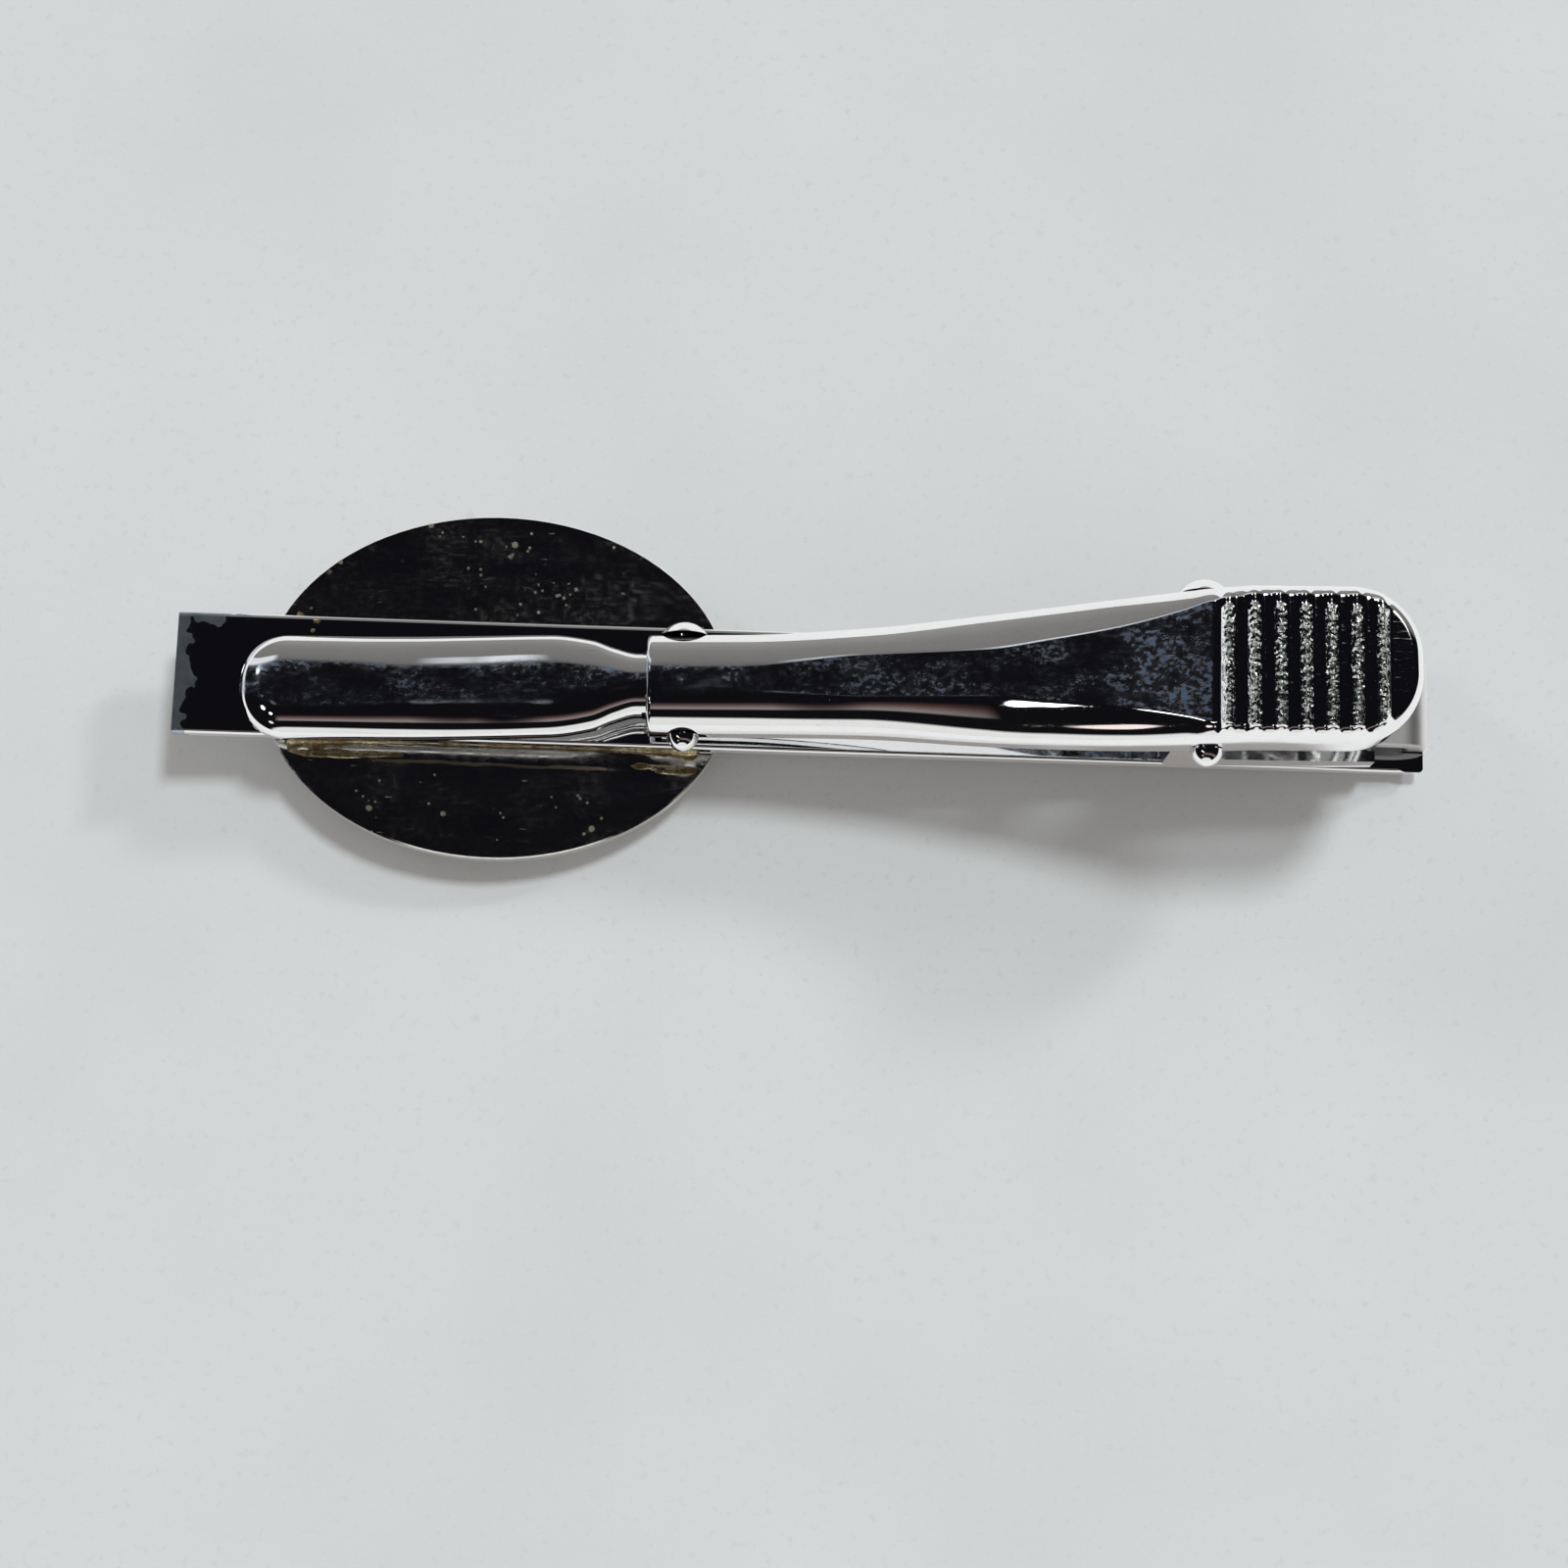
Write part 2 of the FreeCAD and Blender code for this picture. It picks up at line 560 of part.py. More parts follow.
def make_thumb_lever():
    """Domed channel, open at its front end and below, with ribs across its thumb pad."""
    sheet_size = size("lever_sheet")
    corner = size("pad_corner")
    drop = size("pad_end_drop")
    overrun = size("cut_overrun")
    outside = channel_loft(lever_stations(), corner, drop, 1, 0.0, 0.0)
    inside_stations = lever_stations()
    front = inside_stations[0]
    inside_stations.insert(0, (front[0] - overrun,) + front[1:])
    inside = channel_loft(inside_stations, corner, drop, 1, sheet_size, overrun)
    rib_stations = lever_stations(size("rib_height"), sheet_size / 2)[CHANNEL_SECTIONS // 2:]
    raised = channel_loft(rib_stations, corner - sheet_size / 2, drop, 1, 0.0, 0.0)
    box_height = size("lever_pad_height") + overrun
    lever = outside
    for number in range(int(size("rib_count"))):
        middle = worked(PIVOT_REACH) + size("first_rib_offset") + number * size("rib_pitch")
        corner_at = FreeCAD.Vector(
            middle - size("rib_width") / 2, -size("lever_pad_width") / 2, back_height())
        slab = Part.makeBox(size("rib_width"), size("lever_pad_width"), box_height, corner_at)
        lever = lever.fuse(raised.common(slab))
    lever = lever.cut(inside)
    for diameter, offset, height in (
            ("lever_pin_diameter", "0", PIVOT_HEIGHT),
            ("tongue_pin_diameter", TONGUE_PIN_OFFSET, TONGUE_PIN_HEIGHT)):
        lever = lever.cut(cross_hole(diameter, offset, height))
    item = doc.addObject("Part::Feature", "thumb_lever")
    item.Shape = lever.removeSplitter()
    turn_askew(item)
    keep(item, "thumb_lever")


def cross_hole(diameter, offset, height):
    """Cylinder across the clip that cuts a pin's hole with its running play."""
    half_span = size("lever_pad_width")
    start = FreeCAD.Vector(worked(f"{PIVOT_REACH} + {offset}"), -half_span, back_height(worked(height)))
    radius = size(diameter) / 2 + size("pin_clearance")
    return Part.makeCylinder(radius, 2 * half_span, start, FreeCAD.Vector(0, 1, 0))


def tongue_stations():
    """Sections of the tongue from its neck's end to the start of its rounded tip."""
    stations = []
    neck_end = worked(f"{PIVOT_REACH} + {TONGUE_PIN_OFFSET} - sizes.neck_inset")
    end_share = 1 - size("tip_corner") / size("tongue_length")
    for along, width, height, lift, flat, shoulder in even_rows(TONGUE_SHARES, end_share):
        half_width = between(size("tongue_width"), worked(NECK_WIDTH), width) / 2
        crown = back_height(between(size("tongue_height"), worked(NECK_HEIGHT), height))
        rim = back_height(between(size("jaw_rest_gap"), worked(NECK_LIFT), lift))
        place_along = neck_end - along * size("tongue_length")
        stations.append((place_along, half_width, crown, rim, flat * half_width, shoulder * (crown - rim)))
    return stations


def make_tongue():
    """Domed blade with a round tip and a narrow neck, which ends in two lugs round the hinge pin."""
    sheet_size = size("tongue_sheet")
    corner = size("tip_corner")
    drop = size("tip_drop")
    overrun = size("cut_overrun")
    outside = channel_loft(tongue_stations(), corner, drop, -1, 0.0, 0.0)
    inside_stations = tongue_stations()
    neck_end = inside_stations[0]
    inside_stations.insert(0, (neck_end[0] + overrun,) + neck_end[1:])
    inside = channel_loft(inside_stations, corner, drop, -1, sheet_size, overrun)
    shell = outside.cut(inside)
    radius = size("lug_radius")
    pin_at = FreeCAD.Vector(worked(f"{PIVOT_REACH} + {TONGUE_PIN_OFFSET}"), 0,
                            back_height(worked(TONGUE_PIN_HEIGHT)))
    lug_start = neck_end[0] - size("lug_overlap")
    for side in (-1, 1):
        face_at = worked(NECK_WIDTH) / 2 - sheet_size if side > 0 else -worked(NECK_WIDTH) / 2
        disc = Part.makeCylinder(radius, sheet_size, pin_at + FreeCAD.Vector(0, face_at, 0),
                                 FreeCAD.Vector(0, 1, 0))
        arm_height = neck_end[2] - neck_end[5] - neck_end[3]
        arm = Part.makeBox(pin_at.x - lug_start, sheet_size, arm_height,
                           FreeCAD.Vector(lug_start, face_at, neck_end[3]))
        shell = shell.fuse([disc, arm])
    shell = shell.cut(cross_hole("tongue_pin_diameter", TONGUE_PIN_OFFSET, TONGUE_PIN_HEIGHT))
    item = doc.addObject("Part::Feature", "tongue")
    item.Shape = shell.removeSplitter()
    turn_askew(item)
    keep(item, "tongue")


def lever_underside(reach):
    """Height of the lever's underside on its middle line, at a place along the clip."""
    stations = lever_stations()
    for first, last in zip(stations, stations[1:]):
        if first[0] <= reach <= last[0]:
            share = (reach - first[0]) / (last[0] - first[0])
            return between(first[2], last[2], share) - size("lever_sheet")
    return stations[-1][2] - size("lever_sheet")


def leaf_solid(path, width):
    """Flat leaf across the clip from its side outline, a closed list of edges on the leaf's near side."""
    face = Part.Face(Part.Wire(path))
    return face.extrude(FreeCAD.Vector(0, width, 0))


def make_lever_spring():
    """V of flat spring: one leg on the hinge base, a bend, and a free leg under the thumb pad."""
    outer = size("spring_bend")
    inner = outer - size("spring_sheet")
    bend_x = worked(PIVOT_REACH) + size("spring_start")
    floor = back_height(size("base_sheet"))
    near_side = -size("spring_width") / 2
    middle = FreeCAD.Vector(bend_x, near_side, floor + outer)
    tip_x = worked(PIVOT_REACH) + size("spring_tip_reach")
    tip_z = lever_underside(tip_x) - size("spring_gap")
    span = math.hypot(tip_x - middle.x, tip_z - middle.z)
    slope = math.atan2(tip_z - middle.z, tip_x - middle.x) - math.asin(outer / span)
    leg = math.sqrt(span ** 2 - outer ** 2)
    across = FreeCAD.Vector(-math.sin(slope), 0, math.cos(slope))
    along = FreeCAD.Vector(math.cos(slope), 0, math.sin(slope))
    left = FreeCAD.Vector(-1, 0, 0)
    down = FreeCAD.Vector(0, 0, -1)
    flat_end = FreeCAD.Vector(worked(SPRING_LEG), 0, 0)
    ring = []
    for radius in (outer, inner):
        ring.append((middle + down * radius, middle + left * radius, middle + across * radius))
    corners = [
        ring[0][0] + flat_end, ring[0][0], ring[0][2], ring[0][2] + along * leg,
        ring[1][2] + along * leg, ring[1][2], ring[1][0], ring[1][0] + flat_end,
    ]
    path = [
        Part.LineSegment(corners[0], corners[1]).toShape(),
        Part.Arc(corners[1], ring[0][1], corners[2]).toShape(),
        Part.LineSegment(corners[2], corners[3]).toShape(),
        Part.LineSegment(corners[3], corners[4]).toShape(),
        Part.LineSegment(corners[4], corners[5]).toShape(),
        Part.Arc(corners[5], ring[1][1], corners[6]).toShape(),
        Part.LineSegment(corners[6], corners[7]).toShape(),
        Part.LineSegment(corners[7], corners[0]).toShape(),
    ]
    leaf = leaf_solid(path, size("spring_width"))
    hole_at = FreeCAD.Vector(bend_x + size("spring_rivet_offset"), 0, floor)
    hole_radius = size("rivet_diameter") / 2 + size("rivet_clearance")
    hole = Part.makeCylinder(hole_radius, size("spring_sheet"), hole_at)
    item = doc.addObject("Part::Feature", "lever_spring")
    item.Shape = leaf.cut(hole)
    turn_askew(item)
    keep(item, "lever_spring")


def make_spring_rivet():
    """Short rivet whose head holds the spring's flat leg on the hinge base."""
    shank = doc.addObject("Part::Cylinder", "rivet_shank")
    shank.setExpression("Radius", "sizes.rivet_diameter / 2")
    shank.setExpression("Height", "sizes.base_sheet + sizes.spring_sheet")
    head = doc.addObject("Part::Cylinder", "rivet_head")
    head.setExpression("Radius", "sizes.rivet_head_diameter / 2")
    head.setExpression("Height", "sizes.rivet_head_height")
    head.setExpression("Placement.Base.z", "sizes.base_sheet + sizes.spring_sheet")
    rivet = doc.addObject("Part::Fuse", "spring_rivet")
    rivet.Base = shank
    rivet.Tool = head
    keep(rivet, "spring_rivet")
    place_askew(rivet, "sizes.spring_start + sizes.spring_rivet_offset", BACK)


def make_tongue_spring():
    """Thin leaf inside the lever's front end, from the lever's underside to the tongue's neck."""
    neck_end = tongue_stations()[0]
    start_x = neck_end[0] - size("tongue_sheet")
    low = back_height(worked(NECK_HEIGHT) + size("leaf_front_gap"))
    length = size("leaf_length")
    rise = LEAF_RISE_SHARE * (lever_underside(start_x + length) - lever_underside(start_x))
    thick = size("leaf_sheet")
    near_side = -size("leaf_width") / 2
    corners = [
        FreeCAD.Vector(start_x, near_side, low),
        FreeCAD.Vector(start_x + length, near_side, low + rise),
        FreeCAD.Vector(start_x + length, near_side, low + rise + thick),
        FreeCAD.Vector(start_x, near_side, low + thick),
    ]
    path = []
    for first, last in zip(corners, corners[1:] + corners[:1]):
        path.append(Part.LineSegment(first, last).toShape())
    item = doc.addObject("Part::Feature", "tongue_spring")
    item.Shape = leaf_solid(path, size("leaf_width"))
    turn_askew(item)
    keep(item, "tongue_spring")


make_front_bar()
make_oval_plate()
make_solder_seams()
make_hinge_base()
make_pin("lever_pin", "sizes.lever_pin_diameter",
         "sizes.lever_pad_width + 2 * sizes.pin_clearance",
         "0", PIVOT_HEIGHT)
make_thumb_lever()
make_lever_spring()
make_spring_rivet()
make_pin("tongue_pin", "sizes.tongue_pin_diameter",
         "sizes.lever_front_width + 2 * sizes.pin_clearance",
         TONGUE_PIN_OFFSET, TONGUE_PIN_HEIGHT)
make_tongue()
make_tongue_spring()
doc.recompute()

for item in doc.Objects:
    if "Invalid" in item.State or "Error" in item.State:
        raise RuntimeError(item.Name + " failed: " + str(item.State))
for item in sub_parts:
    if item.Shape.isNull() or not item.Shape.isValid():
        raise RuntimeError(item.Label + " has no valid shape")

os.makedirs("parts", exist_ok=True)
for item in sub_parts:
    item.Shape.exportStep("parts/" + item.Label + ".step")
    box = item.Shape.BoundBox
    print(item.Label, "solids", len(item.Shape.Solids), "volume", round(item.Shape.Volume, 3),
          "box", [round(value, 2) for value in (box.XMin, box.YMin, box.ZMin, box.XMax, box.YMax, box.ZMax)])
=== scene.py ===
import json
import math

import bmesh
import bpy
import numpy as np
from mathutils import Matrix, Vector, noise as field


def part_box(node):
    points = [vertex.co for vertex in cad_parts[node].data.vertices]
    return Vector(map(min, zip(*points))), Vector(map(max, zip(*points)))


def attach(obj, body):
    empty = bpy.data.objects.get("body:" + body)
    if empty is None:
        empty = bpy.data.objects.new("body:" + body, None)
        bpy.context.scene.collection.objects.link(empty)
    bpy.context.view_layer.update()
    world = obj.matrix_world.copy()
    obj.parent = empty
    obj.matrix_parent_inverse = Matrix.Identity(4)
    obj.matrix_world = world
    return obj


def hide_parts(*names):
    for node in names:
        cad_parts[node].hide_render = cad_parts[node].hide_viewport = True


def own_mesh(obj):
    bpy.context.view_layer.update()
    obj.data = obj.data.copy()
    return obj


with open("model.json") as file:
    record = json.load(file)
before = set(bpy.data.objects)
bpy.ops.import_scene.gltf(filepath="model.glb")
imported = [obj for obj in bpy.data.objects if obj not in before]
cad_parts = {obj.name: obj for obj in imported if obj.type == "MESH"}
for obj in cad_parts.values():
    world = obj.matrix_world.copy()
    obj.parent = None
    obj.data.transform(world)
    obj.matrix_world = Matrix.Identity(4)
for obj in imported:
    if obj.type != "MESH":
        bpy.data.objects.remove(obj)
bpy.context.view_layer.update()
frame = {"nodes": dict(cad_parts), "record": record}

MM = 0.001
nodes = frame["nodes"]


# Places and sizes of the clip in millimetres, as in the CAD. X runs along the strip towards the thumb pad,
# Y across it to the north, Z up from the front to the back.
JOINTS = {joint["name"]: joint for joint in frame["record"]["behaviour"]["joints"]}
PIVOT = JOINTS["lever_hinge"]["pos_m"][0] / MM
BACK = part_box("hinge_base")[0].z / MM
OVAL_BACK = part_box("oval_plate")[1].z / MM
BAR_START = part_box("front_bar")[0].x / MM
HALF_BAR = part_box("front_bar")[1].y / MM
# The hinge and all that it carries are turned on the strip by this angle.
SKEW = math.radians(1.0)

# Lever. Pairs give its front end and its pad, and the crown is measured up from the strip's back.
LEVER = {"start": PIVOT - 23.8, "length": 32.7, "sheet": 0.45, "half": (2.2, 3.375), "crown": (3.6, 8.9),
         "depth": (2.3, 2.7), "corner": 3.0, "front_rows": 120, "pad_rows": 170}
# One row for each place from the lever's front end to the pad's end: place along it, then width, height and
# depth on the way from the front's to the pad's, flat crown as a share of the half width, shoulder as a
# share of the depth, and the angle of the crease beside the flat, in degrees.
LEVER_ROWS = [
    (0.000, 0.000, 0.000, 0.00, 0.12, 0.62, 0),
    (0.138, 0.020, 0.047, 0.00, 0.22, 0.62, 7),
    (0.290, 0.160, 0.198, 0.00, 0.38, 0.62, 15),
    (0.445, 0.520, 0.368, 0.00, 0.36, 0.60, 16),
    (0.530, 0.700, 0.500, 0.08, 0.44, 0.57, 18),
    (0.618, 0.860, 0.660, 0.25, 0.54, 0.52, 20),
    (0.700, 0.960, 0.835, 0.85, 0.70, 0.44, 22),
    (0.725, 0.985, 0.887, 1.15, 0.77, 0.40, 22),
    (0.794, 1.000, 0.987, 1.05, 0.82, 0.40, 6),
    (1.000, 1.000, 1.000, 1.00, 0.82, 0.40, 6),
]
RIBS = {"count": 7, "first": PIVOT + 0.6, "pitch": 1.07, "width": 0.92, "height": 0.20, "fade": 0.55,
        "dent": 0.008, "dent_pitch": 0.16, "dent_seed": 0.5}
PAD_STEP = {"at": PIVOT + 0.06, "width": 0.16, "height": 0.02}

# Tongue. Pairs give its tip and its neck, and heights are measured up from the strip's back.
TONGUE = {"start": PIVOT - 23.2, "length": 18.6, "sheet": 0.35, "half": (2.325, 1.4), "crown": (1.6, 2.95),
          "rim": (0.1, 1.5), "corner": 2.1, "rows": 150}
# One row for each place from the tongue's neck to its tip: place along it, then width, height and rim on
# the way from the tip's to the neck's, and the flat, the shoulder and the crease as in the lever's rows.
TONGUE_ROWS = [
    (0.000, 1.00, 1.00, 1.00, 0.12, 0.60, 0),
    (0.054, 1.00, 0.97, 0.97, 0.12, 0.60, 0),
    (0.110, 0.72, 0.90, 0.93, 0.14, 0.62, 0),
    (0.165, 0.32, 0.82, 0.88, 0.18, 0.64, 0),
    (0.260, 0.06, 0.70, 0.77, 0.22, 0.66, 0),
    (0.435, 0.02, 0.36, 0.40, 0.16, 0.68, 0),
    (0.600, 0.00, 0.10, 0.10, 0.18, 0.70, 0),
    (0.750, 0.00, 0.00, 0.00, 0.28, 0.70, 0),
    (1.000, 0.00, 0.00, 0.00, 0.33, 0.70, 0),
]
# Lugs round the tongue's pin. The arc is the round end's, in degrees.
LUG = {"pin": (PIVOT - 22.2, BACK + 2.1), "radius": 0.62, "back": PIVOT - 24.0, "sheet": 0.35, "half": 1.4,
       "low": BACK + 1.5, "high": BACK + 2.38, "arc": (-104, 124), "arc_steps": 24}

# Bent leaf under the thumb pad. It keeps this share of its height when the clip is fully open.
SPRING = {"bend": PIVOT + 1.6, "floor": BACK + 0.5, "outer": 0.7, "sheet": 0.25, "width": 3.0, "leg": 4.6,
          "tip": PIVOT + 5.9, "tip_gap": 0.15, "leg_rows": 24, "bend_rows": 32, "keep": 0.6}

# Points of a channel's section: across its flat crown, round its shoulder, down its wall, under its rim.
CROWN_POINTS = 36
SHOULDER_POINTS = 20
WALL_POINTS = 7
RIM_POINTS = 8
# Rows of a channel's round lip and of its closed end.
LIP_ROWS = 8
CORNER_ROWS = 60
# The most that a shoulder leans where it meets the crown.
MOST_LEAN = 0.48
# Points of a channel that are nearer to each other than this are one.
WELD = 0.0005
# Edges bent by more than these angles, in degrees, stay sharp.
SHARP = {"channel": 42, "leaf": 35, "solder": 60}


def between(first, last, share):
    """Value that share of the way from the first to the last."""
    return first + (last - first) * share


def eased(share):
    """Share from 0 to 1 that starts and stops smoothly."""
    return share * share * (3 - 2 * share)


def row_at(rows, along):
    """Row of a table at any place, on smooth curves that never swing past the rows."""
    table = np.array(rows)
    steps = np.diff(table[:, 1:], axis=0) / np.diff(table[:, 0])[:, None]
    slopes = [steps[0]]
    for before, after in zip(steps, steps[1:]):
        total = np.where(before + after == 0, 1, before + after)
        slopes.append(np.where(before * after <= 0, 0, 2 * before * after / total))
    slopes.append(steps[-1])
    index = int(np.clip(np.searchsorted(table[:, 0], along) - 1, 0, len(rows) - 2))
    span = table[index + 1, 0] - table[index, 0]
    part = (along - table[index, 0]) / span
    first, last = table[index, 1:], table[index + 1, 1:]
    lead = first + slopes[index] * span / 3
    trail = last - slopes[index + 1] * span / 3
    rest = 1 - part
    return rest ** 3 * first + 3 * rest ** 2 * part * lead + 3 * rest * part ** 2 * trail + part ** 3 * last


def turned(points):
    """Points in metres, turned with the hinge about the upright axis through the lever's pin."""
    points = np.array(points, float)
    x = points[:, 0] - PIVOT
    y = points[:, 1].copy()
    points[:, 0] = PIVOT + x * math.cos(SKEW) - y * math.sin(SKEW)
    points[:, 1] = x * math.sin(SKEW) + y * math.cos(SKEW)
    return points * MM


def shoulder_curve(half, flat, shoulder, crease):
    """Reach, rise and last angle of the part of an ellipse that leads from a channel's wall to its flat
    crown, which it meets at the crease's angle."""
    lean = min(math.tan(math.radians(crease)) * (half - flat) / shoulder, MOST_LEAN)
    last_cosine = lean / (1 - lean)
    last_angle = math.acos(last_cosine)
    return (half - flat) / (1 - last_cosine), shoulder / math.sin(last_angle), last_angle


def half_arch(half, crown, rim, flat, shoulder, crease):
    """Across and up of half a domed channel, from the middle of its crown to its rim."""
    reach, rise, last_angle = shoulder_curve(half, flat, shoulder, crease)
    points = [(between(0, flat, step / CROWN_POINTS), crown) for step in range(CROWN_POINTS + 1)]
    for step in range(1, SHOULDER_POINTS + 1):
        angle = last_angle * (1 - step / SHOULDER_POINTS)
        points.append((half - reach + reach * math.cos(angle), crown - shoulder + rise * math.sin(angle)))
    for step in range(1, WALL_POINTS + 1):
        points.append((half, between(crown - shoulder, rim, step / WALL_POINTS)))
    return np.array(points)


def end_arch(row, corner, angle):
    """Half a section of a channel's closed end, whose shoulder runs on round its corners: how far past the
    last straight section it is, and its points across and up."""
    half, crown, _, flat, shoulder, crease = row
    reach, rise, _ = shoulder_curve(half, flat, shoulder, crease)
    past = corner * math.sin(angle)
    end_half = half - corner * (1 - math.cos(angle))
    points = half_arch(*row)
    points[:, 0] *= end_half / half
    for point in points[:CROWN_POINTS + SHOULDER_POINTS + 1]:
        beyond = max(0.0, point[0] - (half - corner))
        inside = max(0.0, corner - math.hypot(past, beyond))
        if inside < half - flat:
            point[1] = crown - shoulder + rise * math.sin(math.acos(1 - inside / reach))
        else:
            point[1] = crown
    return past, points


def inset(row, sheet):
    """Row of a channel's inside from the row of its outside."""
    half, crown, rim, flat, shoulder, crease = row
    return half - sheet, crown - sheet, rim, flat * (half - sheet) / half, shoulder - sheet, crease


def half_ring(outer, inner):
    """Points of half a section, from the crown's outside, round under the rim, to the crown's inside."""
    middle = (outer[-1] + inner[-1]) / 2
    out = (outer[-1] - inner[-1]) / 2
    down = np.array((0, 0, -np.linalg.norm(out)))
    under = []
    for step in range(1, RIM_POINTS):
        angle = step / RIM_POINTS * math.pi
        under.append(middle + out * math.cos(angle) + down * math.sin(angle))
    return np.concatenate([outer, under, inner[::-1]])


def upright(place, section):
    """Points of a section that stands across the clip at a place along it."""
    return np.column_stack([np.full(len(section), place), section])


def straight_ring(place, row, sheet):
    """Half ring of a channel at a place along it."""
    return half_ring(upright(place, half_arch(*row)), upright(place, half_arch(*inset(row, sheet))))


def corner_ring(place, row, sheet, corner, angle, way):
    """Half ring of a channel's closed end, at an angle round its corners."""
    past, outer = end_arch(row, corner, angle)
    inner_past, inner = end_arch(inset(row, sheet), corner - sheet, angle)
    return half_ring(upright(place + way * past, outer), upright(place + way * inner_past, inner))


def lip_rings(front, sheet, way):
    """Half rings of the round lip before a channel's first ring."""
    core = (front + front[::-1]) / 2
    lip = []
    for step in range(LIP_ROWS):
        angle = step / LIP_ROWS * math.pi / 2
        ring = core + (front - core) * math.sin(angle)
        ring[:, 0] -= way * sheet / 2 * math.cos(angle)
        lip.append(ring)
    return lip


def channel(rows, sheet, corner, way):
    """Half rings of a sheet channel through its rows, each a place and a section row, with a round lip at
    its open end and a closed round end. Way is 1 where it runs towards the thumb pad, -1 away from it."""
    rings = [straight_ring(place, row, sheet) for place, row in rows]
    place, row = rows[-1]
    for step in range(1, CORNER_ROWS + 1):
        angle = step / CORNER_ROWS * math.pi / 2
        rings.append(corner_ring(place, row, sheet, corner, angle, way))
    return np.array(lip_rings(rings[0], sheet, way) + rings)


def smooth_mesh(work, name, sharp):
    """Mesh of what has been built, smooth apart from edges bent by more than an angle in degrees."""
    bmesh.ops.recalc_face_normals(work, faces=work.faces)
    mesh = bpy.data.meshes.new(name)
    work.to_mesh(mesh)
    work.free()
    for polygon in mesh.polygons:
        polygon.use_smooth = True
    mesh.set_sharp_from_angle(angle=math.radians(sharp))
    return mesh


def riding(mesh, body):
    """Object for a mesh that is already in place, riding on its body."""
    piece = bpy.data.objects.new(mesh.name, mesh)
    bpy.context.scene.collection.objects.link(piece)
    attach(piece, body)
    return piece


def shell(name, rings):
    """Closed mesh of a sheet channel from its half rings, which are mirrored across the clip."""
    half_size = rings.shape[1]
    work = bmesh.new()
    loops = []
    for ring in rings:
        mirrored = ring[1:-1] * (1, -1, 1)
        right = [work.verts.new(point) for point in turned(ring)]
        left = [work.verts.new(point) for point in turned(mirrored)]
        loops.append((right, [right[0]] + left + [right[-1]]))
    for first, last in zip(loops, loops[1:]):
        for side in range(2):
            for index in range(half_size - 1):
                work.faces.new((first[side][index], first[side][index + 1],
                                last[side][index + 1], last[side][index]))
    right, left = loops[-1]
    for index in range(half_size - 1):
        corners = [right[index], right[index + 1], left[index + 1], left[index]]
        work.faces.new(list(dict.fromkeys(corners)))
    bmesh.ops.remove_doubles(work, verts=work.verts, dist=WELD * MM)
    return smooth_mesh(work, name, SHARP["channel"])


def closed_tube(work, rings):
    """Faces between rings of points, and one at each end."""
    count = len(rings[0])
    for first, last in zip(rings, rings[1:]):
        for index in range(count):
            after = (index + 1) % count
            work.faces.new((first[index], first[after], last[after], last[index]))
    work.faces.new(list(reversed(rings[0])))
    work.faces.new(rings[-1])


def lever_row(place):
    """Half width, crown, rim, flat, shoulder and crease of the lever at a place along it."""
    share = (place - LEVER["start"]) / LEVER["length"]
    width, height, depth, flat, shoulder, crease = row_at(LEVER_ROWS, share)
    half = between(*LEVER["half"], width)
    crown = BACK + between(*LEVER["crown"], height)
    fall = between(*LEVER["depth"], depth)
    return half, crown, crown - fall + LEVER["sheet"] / 2, flat * half, shoulder * fall, crease


def rib_lift(place):
    """Height of the ribs above the pad at a place along the lever."""
    nearest = round((place - RIBS["first"]) / RIBS["pitch"])
    nearest = min(max(nearest, 0), RIBS["count"] - 1)
    off = abs(place - RIBS["first"] - nearest * RIBS["pitch"]) / RIBS["width"]
    if off >= 0.5:
        return 0.0
    return RIBS["height"] * (1 + math.cos(2 * math.pi * off)) / 2


def raise_ribs(ring):
    """Raise one half ring of the pad by its rib, whose crest is finely dented, and by the pad's step."""
    outside = ring[:CROWN_POINTS + SHOULDER_POINTS + 1]
    place = outside[:, 0].max()
    half = outside[:, 1].max()
    ends = np.sin(np.clip((half - outside[:, 1]) / RIBS["fade"], 0, 1) * math.pi / 2)
    lift = rib_lift(place)
    pitch = RIBS["dent_pitch"]
    spots = [Vector((place / pitch, across / pitch, RIBS["dent_seed"])) for across in outside[:, 1]]
    dents = np.array([field.noise(spot) for spot in spots])
    raised = lift - np.abs(dents) * RIBS["dent"] * lift / RIBS["height"]
    step = eased(np.clip((place - PAD_STEP["at"]) / PAD_STEP["width"], 0, 1))
    outside[:, 2] += ends * (raised + PAD_STEP["height"] * step)


def make_lever():
    """Domed channel with a flat facet that widens towards the ribbed thumb pad."""
    sheet = LEVER["sheet"]
    start = LEVER["start"] + sheet / 2
    end = LEVER["start"] + LEVER["length"] - LEVER["corner"]
    front = np.linspace(start, PIVOT, LEVER["front_rows"])
    pad = np.linspace(PIVOT, end, LEVER["pad_rows"])
    rows = [(place, lever_row(place)) for place in np.concatenate([front, pad[1:]])]
    rings = channel(rows, sheet, LEVER["corner"], 1)
    for ring in rings:
        if ring[0, 0] > PIVOT:
            raise_ribs(ring)
    piece = riding(shell("thumb_lever_shell", rings), "lever")
    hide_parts("thumb_lever")
    return piece


def tongue_row(share):
    """Half width, crown, rim, flat, shoulder and crease of the tongue, a share from its neck to its tip."""
    width, height, lift, flat, shoulder, crease = row_at(TONGUE_ROWS, share)
    half = between(*TONGUE["half"], width)
    crown = BACK + between(*TONGUE["crown"], height)
    rim = BACK + between(*TONGUE["rim"], lift)
    return half, crown, rim + TONGUE["sheet"] / 2, flat * half, shoulder * (crown - rim), crease


